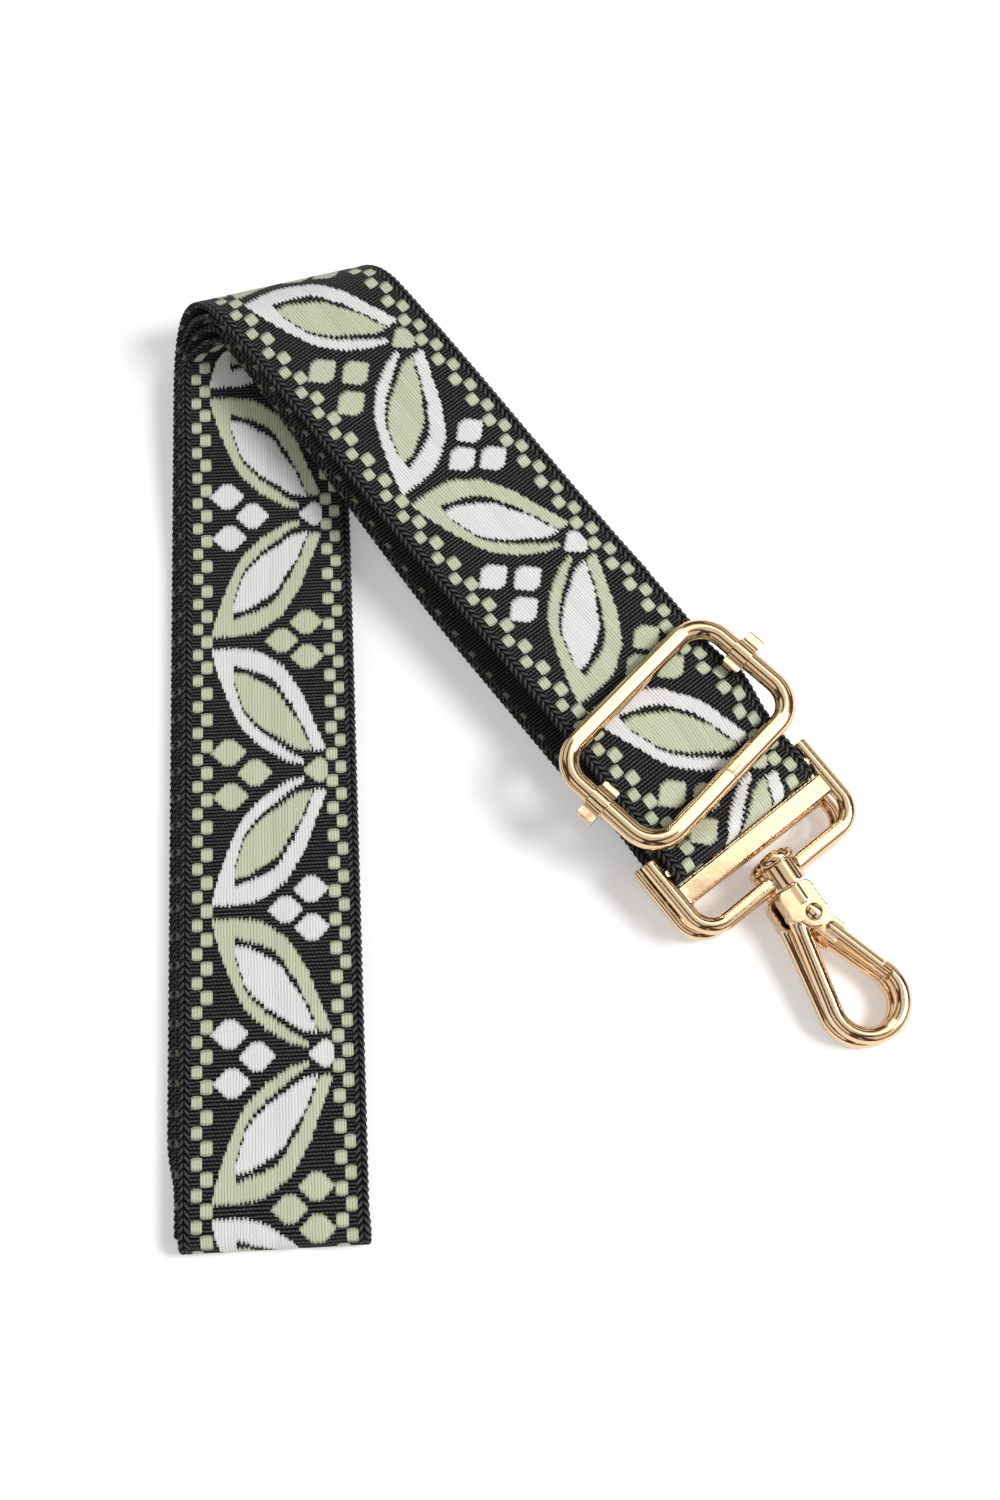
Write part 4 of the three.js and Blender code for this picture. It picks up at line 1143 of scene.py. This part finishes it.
def cast(name, seat, solids, cuts, voxel, rounds):
    """A cast or forged piece: its solids run into one another with small fillets, then slots are cut."""
    piece = raw_object(name, seat, solids)
    settle(piece, "REMESH", mode="VOXEL", voxel_size=voxel * MM)
    settle(piece, "SMOOTH", factor=0.5, iterations=rounds)
    settle(piece, "DECIMATE", ratio=0.5)
    tool = raw_object(name + "_tool", seat, cuts)
    settle(piece, "BOOLEAN", operation="DIFFERENCE", solver="EXACT", object=tool)
    bpy.data.objects.remove(tool)
    return piece


def finish_metal(piece, body, node, sharp=40):
    piece.data.materials.clear()
    piece.data.materials.append(GOLD)
    for polygon in piece.data.polygons:
        polygon.use_smooth = True
        polygon.material_index = 0
    piece.data.set_sharp_from_angle(angle=radians(sharp))
    dress(piece, body, node)


def arc(x, y, radius, start, end, count=17):
    angles = np.linspace(start, end, count)
    return [vec(x + radius * cos(a), y + radius * sin(a)) for a in angles]


# Slider: round wire frame with its butt seam, centre bar and folded collars
SLIDER_LIFT = HALF_THICK + FIT_GAP + SLIDER_WIRE / 2
BAR_DROP = SLIDER_LIFT + HALF_THICK + FIT_GAP + 2 * HALF_THICK + FIT_GAP + BAR_WIRE / 2
WIRE_LIFT = SLIDER_ROUND - SLIDER_WIRE / 2
HALF_X = (SLIDER_LENGTH - SLIDER_WIRE) / 2
HALF_Y = (SLIDER_DEPTH - SLIDER_WIRE) / 2
slider_seat = Seat(top_point(SLIDER_PLACE), at_height(turned(TOP_LOW, SLIDER_SKEW), TOP_RISE), SLIDER_LIFT)
bar_seat = slider_seat.moved(0, BAR_SHIFT)


def hump(x):
    return (1 + np.cos(pi * np.clip(x, 0, 1))) / 2


def pressed(points):
    """The webbing dips under the slider's outer bar, and its right edge spreads inside the window."""
    local = points - slider_seat.origin
    x, y, z = local @ slider_seat.x, local @ slider_seat.y, local @ slider_seat.z + SLIDER_LIFT
    top = np.abs(z) < TOP_LAYER_REACH
    dip = DIP_DEPTH * top * hump(np.abs(y - DIP_PLACE) / np.where(y < DIP_PLACE, DIP_INNER, DIP_OUTER))
    spread = SPREAD * top * (x < 0) * hump(np.abs(y - SPREAD_PLACE) / SPREAD_REACH)
    spread = np.minimum(spread, np.maximum(0, x + SPREAD_LIMIT))
    return points - slider_seat.z * dip[:, None] - slider_seat.x * spread[:, None]


webbing = webbing_mesh("strap_webbing", strap_rows, places, pressed)
dress(webbing, "strap", "webbing")

path, radii = [], []
for i, (sx, sy) in enumerate(((1, 1), (-1, 1), (-1, -1), (1, -1))):
    start = i * pi / 2
    corner = arc(
        sx * (HALF_X - SLIDER_CORNER), sy * (HALF_Y - SLIDER_CORNER), SLIDER_CORNER, start, start + pi / 2
    )
    path += corner
    radii += [SLIDER_ROUND] * len(corner)
    if i == 0:
        path += [vec(SEAM_PLACE + x, HALF_Y) for x, dip in SEAM]
        radii += [SLIDER_ROUND - dip for x, dip in SEAM]
frame_wire = wire(path, radii, closed=True, sides=40)
slider = raw_object("slider_wire", slider_seat.moved(0, 0, WIRE_LIFT), [frame_wire])
finish_metal(slider, "slider", "slider_frame", 50)

solids = [wire([vec(-HALF_X, 0, -BAR_DROP), vec(HALF_X, 0, -BAR_DROP)], BAR_WIRE / 2)]
bores = []
for side in (-1, 1):
    collar = rod(SLIDER_ROUND + COLLAR_WALL, -COLLAR_WIDTH / 2, COLLAR_WIDTH / 2)
    solids.append(shifted(collar, side * HALF_X, 0, WIRE_LIFT))
    for way, width in TAB_WIDTHS:
        tab = rounded_block(width, COLLAR_WIDTH - TAB_INSET, TAB_HEIGHT, TAB_CORNER)
        solids.append(shifted(tab, side * (HALF_X + way * (SLIDER_ROUND + width / 2 - TAB_SINK)), 0, TAB_LOW))
    solids.append(box(LUG_WIDTH, COLLAR_WIDTH, BAR_DROP, (side * HALF_X, 0, -BAR_DROP / 2)))
    bores.append(shifted(rod(SLIDER_ROUND + BORE_GAP, -COLLAR_WIDTH, COLLAR_WIDTH), side * HALF_X, 0, WIRE_LIFT))
bar = cast("slider_bar_with_collars", bar_seat, solids, bores, voxel=0.14, rounds=8)
finish_metal(bar, "bar", "slider_bar")

# Sewn end round the centre bar, and the return leg from the upper ring's loop
WRAP_LOW = -BAR_DROP - WRAP_RADIUS
WRAP_HIGH = -BAR_DROP + WRAP_RADIUS
SEWN_TOP = WRAP_LOW + PITCH
return_start = UPPER_BAR - TOP_END * (TAIL + FIT_GAP) - UP * LOOP_RADIUS
return_end = bar_seat.at(0, TAIL + FIT_GAP, WRAP_LOW)
leg = return_start - return_end
RETURN_RISE = leg[2] / hypot(leg[0], leg[1]) - TOP_RISE
sewn_rows = [square_row(bar_seat.at(0, TAIL, WRAP_LOW), bar_seat.x, -bar_seat.z)]
for x in shares(WRAP_ROWS):
    s, c = sin(pi * x), cos(pi * x)
    centre = bar_seat.at(0, -WRAP_RADIUS * s, -BAR_DROP - WRAP_RADIUS * c)
    sewn_rows.append(square_row(centre, bar_seat.x, bar_seat.toward(0, -s, -c)))
for x in shares(END_ROWS)[1:]:
    y = SEWN_LENGTH * x
    height = WRAP_HIGH + (SEWN_TOP + RETURN_RISE * y - WRAP_HIGH) * smooth(y / SEWN_SETTLE)
    sewn_rows.append(square_row(bar_seat.at(0, y, height), bar_seat.x, bar_seat.z))
dress(webbing_mesh("sewn_end_webbing", sewn_rows, travelled(sewn_rows)), "bar", "webbing_sewn_end")
# The leg's end laps below the sewn end's tail, so that the bar may slide over it
leg_rows = []
for x in shares(LEG_ROWS):
    centre = return_start + (return_end - bar_seat.y * LAP - return_start) * x
    below = UP * LAP_DROP * smooth((x - LAP_START_SHARE) / LAP_RAMP_SHARE)
    leg_rows.append(square_row(centre - below, unit(TOP_END_SIDE * (1 - x) - bar_seat.x * x), -UP))
return_leg = webbing_mesh("return_leg_webbing", leg_rows, travelled(leg_rows))
(return_end + TO_PART) * MM
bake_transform(return_leg)
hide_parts("webbing_return_leg")


# Rings: bent arms with open horns, webbing bar, flat plate and far bar with the swivel boss
def ring_piece(which, seat, skew, round_radius, boss_radius):
    side_x = RING_INNER / 2 + round_radius
    horn = -RING_HORN + round_radius
    corner_x, corner_y = side_x - RING_CORNER, RING_REACH - RING_CORNER
    path = [vec(side_x, y) for y in (horn, 0.0, RING_STRAIGHT)]
    path += arc(corner_x, corner_y, RING_CORNER, 0, pi / 2)
    path += [vec(0, RING_REACH)]
    path += arc(-corner_x, corner_y, RING_CORNER, pi / 2, pi)
    path += [vec(-side_x, y) for y in (RING_STRAIGHT, 0.0, horn)]
    solids = [wire(path, round_radius, sides=36)]
    for side in (-1, 1):
        solids.append(shifted(rod(round_radius, horn + HORN_START, horn + HORN_END), side * side_x))
        lug = [vec(side * side_x, horn), vec(side * (RING_INNER / 2 - LUG_REACH), horn)]
        solids.append(wire(lug, RING_LUG))
    bar = wire([vec(-side_x, 0), vec(side_x, 0)], RING_BAR / 2)
    plate_y = LOOP_RADIUS + HALF_THICK + FIT_GAP + PLATE_DEPTH / 2
    wide_plate = box(2 * side_x, PLATE_DEPTH, PLATE_THICK - 2 * PLATE_BEVEL, (0, plate_y, 0))
    thick_plate = box(2 * side_x - PLATE_SHOULDER, PLATE_DEPTH - 2 * PLATE_BEVEL, PLATE_THICK, (0, plate_y, 0))
    boss = rod(boss_radius, -BOSS_LENGTH / 2, BOSS_LENGTH / 2)
    bore = rod(POST_RADIUS + POST_PLAY, -BOSS_LENGTH, BOSS_LENGTH)
    boss, bore = (shifted(solid, 0, RING_REACH, spin=turn_matrix(skew)) for solid in (boss, bore))
    solids += [bar, wide_plate, thick_plate, boss]
    ring = cast(which + "_ring_cast", seat, solids, [bore], voxel=0.16, rounds=5)
    finish_metal(ring, which + "_ring", which + "_ring")


# Hook: socketed neck, slotted cheeks, round leg and bend up to the stepped nose
HOOK_START = BOSS_LENGTH / 2 + FIT_GAP
PIVOT = vec(PIVOT_SIDE, PIVOT_PLACE)
BEND = vec(0, BEND_PLACE)


def tangent_lean(point):
    return asin(BEND_RADIUS / np.linalg.norm(BEND - point))


GATE_LEAN = tangent_lean(PIVOT) - atan2(-PIVOT_SIDE, BEND_PLACE - PIVOT_PLACE)
GATE_WAY = vec(-sin(GATE_LEAN), cos(GATE_LEAN))
NOSE_ALONG = (NOSE_TOP - PIVOT_PLACE) / GATE_WAY[1]


def lap_cut(wide, side, along):
    """Half of the nose's or the gate's end, cut away where the two lap."""
    return box(wide, NOSE_LAP + wide, 2 * wide, (side * (wide - FIT_GAP) / 2, along, 0))


def hook_piece(which, seat):
    root = vec(LEG_TOP_SIDE, LEG_TOP)
    leg_lean = tangent_lean(root) - atan2(LEG_TOP_SIDE, BEND_PLACE - LEG_TOP)
    bend = arc(BEND[0], BEND[1], BEND_RADIUS, -leg_lean, pi + GATE_LEAN, 49)
    leg = bend[0] - root
    path = [root - vec(*LEG_TAIL), root, root + leg * 0.1, root + leg * 0.2] + bend
    path.append(PIVOT + GATE_WAY * NOSE_ALONG)
    radii = [LEG_ROOT_RADIUS, LEG_ROOT_RADIUS, HOOK_FORGED + HOOK_SWELL]
    radii += [HOOK_FORGED] * (len(path) - 4) + [HOOK_WIRE / 2]
    head = rounded_block(HEAD_WIDTH, HEAD_LENGTH, CHEEK_THICK, HEAD_CORNER)
    solids = [
        rod(NECK_RADIUS, HOOK_START, NECK_END),
        shifted(head, HEAD_SIDE, HOOK_START + HEAD_LENGTH / 2),
        shifted(round_block(CHEEK_RADIUS, CHEEK_THICK), PIVOT_SIDE, PIVOT_PLACE),
        shifted(round_block(LEG_ROOT_RADIUS, CHEEK_THICK), LEG_TOP_SIDE, LEG_TOP),
        wire(path, radii, sides=36),
    ]
    slot_x = -CHEEK_WIDTH / 2 + GATE_TAB_RADIUS + FIT_GAP
    slot_y = PIVOT_PLACE - GATE_TAB_RADIUS - FIT_GAP + CHEEK_END / 2
    step = lap_cut(HOOK_WIRE, 1, NOSE_ALONG + (NOSE_LAP - HOOK_WIRE) / 2)
    cuts = [
        box(CHEEK_WIDTH, CHEEK_END, SLOT_THICK, (slot_x, slot_y, 0)),
        shifted(step, PIVOT[0], PIVOT[1], spin=turn_matrix(GATE_LEAN)),
    ]
    hook = cast(which + "_snap_hook", seat, solids, cuts, voxel=0.15, rounds=6)
    finish_metal(hook, which + "_hook", which + "_hook")


# Swivel post: ringed, peened head inside the ring
def post_piece(which, seat, wide):
    head = -BOSS_LENGTH / 2 - POST_GAP
    points = [(share * wide, head - POST_HEAD_HEIGHT * (1 - rise)) for share, rise in POST_HEAD_SHARES]
    points += [(POST_RADIUS, head), (POST_RADIUS, HOOK_START + POST_SOCKET - FIT_GAP)]
    post = raw_object(which + "_swivel", seat, [lathe(points, 64)])
    finish_metal(post, which + "_hook", which + "_swivel_post", 55)


# Gate: flat tab on the pin, round bar, stepped end inside the nose
def gate_piece(which, seat):
    tab = GATE_TAB / 2 + TAB_SWELL
    neck = GATE_SHOULDER + GATE_WIRE / 2
    shoulder = CHEEK_RADIUS + GATE_WIRE / 2 + SHOULDER_GAP
    solids = [
        shifted(rod(GATE_TAB_RADIUS, -tab, tab), spin=LAID),
        box(2 * GATE_TAB_RADIUS, neck, 2 * tab, (0, neck / 2, 0)),
        ball((0, shoulder, 0), GATE_WIRE / 2),
        rod(GATE_WIRE / 2, shoulder, NOSE_ALONG + NOSE_LAP - FIT_GAP),
    ]
    lap = lap_cut(GATE_WIRE, -1, NOSE_ALONG - FIT_GAP + (NOSE_LAP + GATE_WIRE) / 2)
    gate = cast(which + "_gate_bar", seat, solids, [lap], voxel=0.13, rounds=5)
    finish_metal(gate, which + "_gate", which + "_gate")


# Rivet: flat foot, pin and dome
def pin_piece(which, seat):
    half = CHEEK_THICK / 2 + PIN_GAP
    points = [(PIN_DOME * 0.9, -half - PIN_FOOT), (PIN_DOME, -half - PIN_FOOT * 0.6), (PIN_DOME, -half)]
    points += [(PIN_RADIUS, -half), (PIN_RADIUS, half)]
    points += [(PIN_DOME * cos(a), half + PIN_DOME_HEIGHT * sin(a)) for a in np.linspace(0, 1.5, 12)]
    pin = raw_object(which + "_rivet", seat, [shifted(lathe(points), spin=LAID)])
    finish_metal(pin, which + "_hook", which + "_gate_pin", 50)


HOOK_END = BEND_PLACE + RING_REACH
sets = (
    ("upper", UPPER_BAR, TOP_END, UPPER_RING_HEIGHT - UPPER_HOOK_END, HOOK_SKEWS[0]),
    ("lower", LOWER_BAR, LOWER_WAY, LOWER_RING_HEIGHT - LOWER_HOOK_END, HOOK_SKEWS[1]),
)
for which, bar_place, way, drop, skew in sets:
    ring_seat = Seat(bar_place, at_height(way, -drop / HOOK_END))
    ring_piece(which, ring_seat, skew, *RING_ROUNDS[which])
    swivel_seat = ring_seat.moved(0, RING_REACH, 0, skew)
    post_piece(which, swivel_seat, POST_HEADS[which])
    hook_piece(which, swivel_seat)
    hinge_seat = swivel_seat.moved(PIVOT[0], PIVOT[1])
    gate_piece(which, hinge_seat.moved(0, 0, 0, GATE_LEAN))
    pin_piece(which, hinge_seat)
    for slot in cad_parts[which + "_gate_spring"].material_slots:
        slot.material = STEEL


# Box stitches with their cross: single stitches follow the sewing line
def stitch_tree():
    """The stitches' node group, and the value of each of its inputs by socket identifier."""
    tree = bpy.data.node_groups.new("stitches", "GeometryNodeTree")
    face = tree.interface
    face.new_socket("Geometry", in_out="INPUT", socket_type="NodeSocketGeometry")
    values = {}
    for label, kind, value in (
        ("Stitch Length", "NodeSocketFloat", STITCH_LENGTH * MM),
        ("Thread", "NodeSocketFloat", STITCH_WIRE * MM),
        ("Seed", "NodeSocketInt", STITCH_SEED),
    ):
        socket = face.new_socket(label, in_out="INPUT", socket_type=kind)
        socket.default_value = value
        values[socket.identifier] = value
    face.new_socket("Geometry", in_out="OUTPUT", socket_type="NodeSocketGeometry")

    def outputs(kind, inputs=None, **settings):
        return add_node(tree, kind, inputs or {}, **settings).outputs

    source = outputs("NodeGroupInput")
    line = outputs("GeometryNodeMeshToCurve", {"Mesh": source["Geometry"]})
    spacing = {"Curve": line["Curve"], "Length": source["Stitch Length"]}
    spaced = outputs("GeometryNodeCurveToPoints", spacing, mode="LENGTH")
    thread = outputs("GeometryNodeMeshUVSphere", {"Segments": 10, "Rings": 8, "Radius": source["Thread"]})
    sizes = {0: STITCH_LEAST, 1: STITCH_MOST, "Seed": source["Seed"]}
    wander = outputs("FunctionNodeRandomValue", sizes, data_type="FLOAT_VECTOR")
    placing = {"Points": spaced["Points"], "Instance": thread["Mesh"], "Rotation": spaced["Rotation"]}
    placed = outputs("GeometryNodeInstanceOnPoints", {**placing, "Scale": wander["Value"]})
    real = outputs("GeometryNodeRealizeInstances", {"Geometry": placed["Instances"]})
    dyed = outputs("GeometryNodeSetMaterial", {"Geometry": real["Geometry"], "Material": THREAD_BLACK})
    outputs("NodeGroupOutput", {"Geometry": dyed["Geometry"]})
    return tree, values


STITCHES, STITCH_VALUES = stitch_tree()


def box_stitch(name, seat, body, node):
    """Four sides and a cross, sewn on the face of a sewn end."""
    w, d = STITCH_WIDTH / 2, STITCH_DEPTH / 2
    corners = [(-w, -d, 0), (w, -d, 0), (w, d, 0), (-w, d, 0)]
    runs = [(corners[i], corners[j]) for i, j in ((0, 1), (1, 2), (2, 3), (3, 0), (0, 2), (1, 3))]
    points = seat.place([corner for run in runs for corner in run])
    mesh = bpy.data.meshes.new(name)
    mesh.from_pydata(points.tolist(), [(2 * i, 2 * i + 1) for i in range(len(runs))], [])
    piece = link_mesh(name, mesh)
    settle(piece, "NODES", STITCH_VALUES, node_group=STITCHES)
    for polygon in piece.data.polygons:
        polygon.use_smooth = True
    dress(piece, body, node)


back = SEWN_LENGTH - STITCH_DEPTH / 2 - STITCH_BACK
sewing_place = bar_seat.at(0, back, SEWN_TOP + RETURN_RISE * back + HALF_THICK)
rise = unit(np.array([0, 1, RETURN_RISE]))
sewing_seat = Seat(sewing_place, bar_seat.toward(*rise), STITCH_LIFT)
box_stitch("slider_end_sewing", sewing_seat, "bar", "stitching_slider_end")
back = LOWER_SEWN - STITCH_DEPTH / 2 - STITCH_BACK
sewing_place = at_height(LOWER_BAR - LOWER_WAY * back, lower_run_height(back) + PITCH + HALF_THICK)
slope = lower_run_height(back + 0.5) - lower_run_height(back - 0.5)
sewing_seat = Seat(sewing_place, unit(at_height(LOWER_WAY, -slope)), STITCH_LIFT)
box_stitch("ring_end_sewing", sewing_seat, "strap", "stitching_ring_end")


# White table: it keeps the shadow; what the camera and the metal see of it is topped up to white
def seen_directly(t):
    return t.most(*(t.node("LightPath", {}, f"Is {ray} Ray") for ray in ("Camera", "Glossy", "Transmission")))


TABLE_HALF = 3.0
TABLE_TOP_UP = 0.28
TABLE_WHITE = (0.97, 0.97, 0.97)
t = new_material("table_white")
from_middle = t.node("VectorMath", {0: t.object_place()}, "Value", operation="LENGTH")
t.set({
    "Base Color": TABLE_WHITE,
    "Roughness": 1.0,
    "Specular IOR Level": 0.0,
    "Emission Color": (1, 1, 1),
    "Emission Strength": seen_directly(t) * t.share(from_middle, 0.2, 0.9, TABLE_TOP_UP, 1.0),
})
corners = [(x * TABLE_HALF, y * TABLE_HALF, 0) for x, y in ((-1, -1), (1, -1), (1, 1), (-1, 1))]
table_mesh = bpy.data.meshes.new("table")
table_mesh.from_pydata(corners, [], [(0, 1, 2, 3)])
link_mesh("table", table_mesh, [t.owner])

# One soft key lamp
KEY_PLACE = (0.80, -0.08, 0.95)
KEY_SIZE = 0.42
KEY_POWER = 10.0
lamp = link_object("key", bpy.data.lights.new("key", "AREA"))
lamp.data.shape = "DISK"
lamp.data.size = KEY_SIZE
lamp.data.energy = KEY_POWER
lamp.location = KEY_PLACE
lamp.rotation_euler = (-Vector(KEY_PLACE)).to_track_quat("-Z", "Y").to_euler()

# Room: an even soft light for the cloth, and a white room with dark panels that the metal mirrors
ROOM_LIGHT = (0.42, 0.42, 0.42)
MIRRORED_WHITE = (0.84, 0.84, 0.84)
MIRRORED_DARK = (0.05, 0.02, 0.01)
MIRRORED_LAMP = (2.2, 2.2, 2.2)
room = Shader(bpy.data.worlds.new("studio"), "Background")
bpy.context.scene.world = room.owner
east, north, height = room.split(room.node("TexCoord", {}, "Generated"))
slant_place = east * 0.77 + north * -0.64
side_place = east * 0.64 + north * 0.77


def panel(value, low, high, soft, strength):
    edges = room.share(value, low, low + soft) * room.share(value, high - soft, high, 1.0, 0.0)
    return edges * strength


dark = room.most(
    panel(height, 0.02, 0.36, 0.05, 0.88),
    panel(slant_place, 0.33, 0.59, 0.03, 0.94),
    panel(slant_place, -0.68, -0.42, 0.03, 0.94),
    panel(side_place, -0.65, -0.36, 0.03, 0.97),
    panel(side_place, 0.60, 0.82, 0.03, 0.94),
)
bright = panel(side_place, 0.22, 0.50, 0.05, 1.0) * room.share(height, 0.4, 0.6)
mirrored = room.mix(bright, room.mix(dark, MIRRORED_WHITE, MIRRORED_DARK), MIRRORED_LAMP)
lit = room.mix(seen_directly(room), ROOM_LIGHT, mirrored)
camera_ray = room.node("LightPath", {}, "Is Camera Ray")
room.set({"Color": room.mix(camera_ray, lit, (1.0, 1.0, 1.0)), "Strength": 1.0})
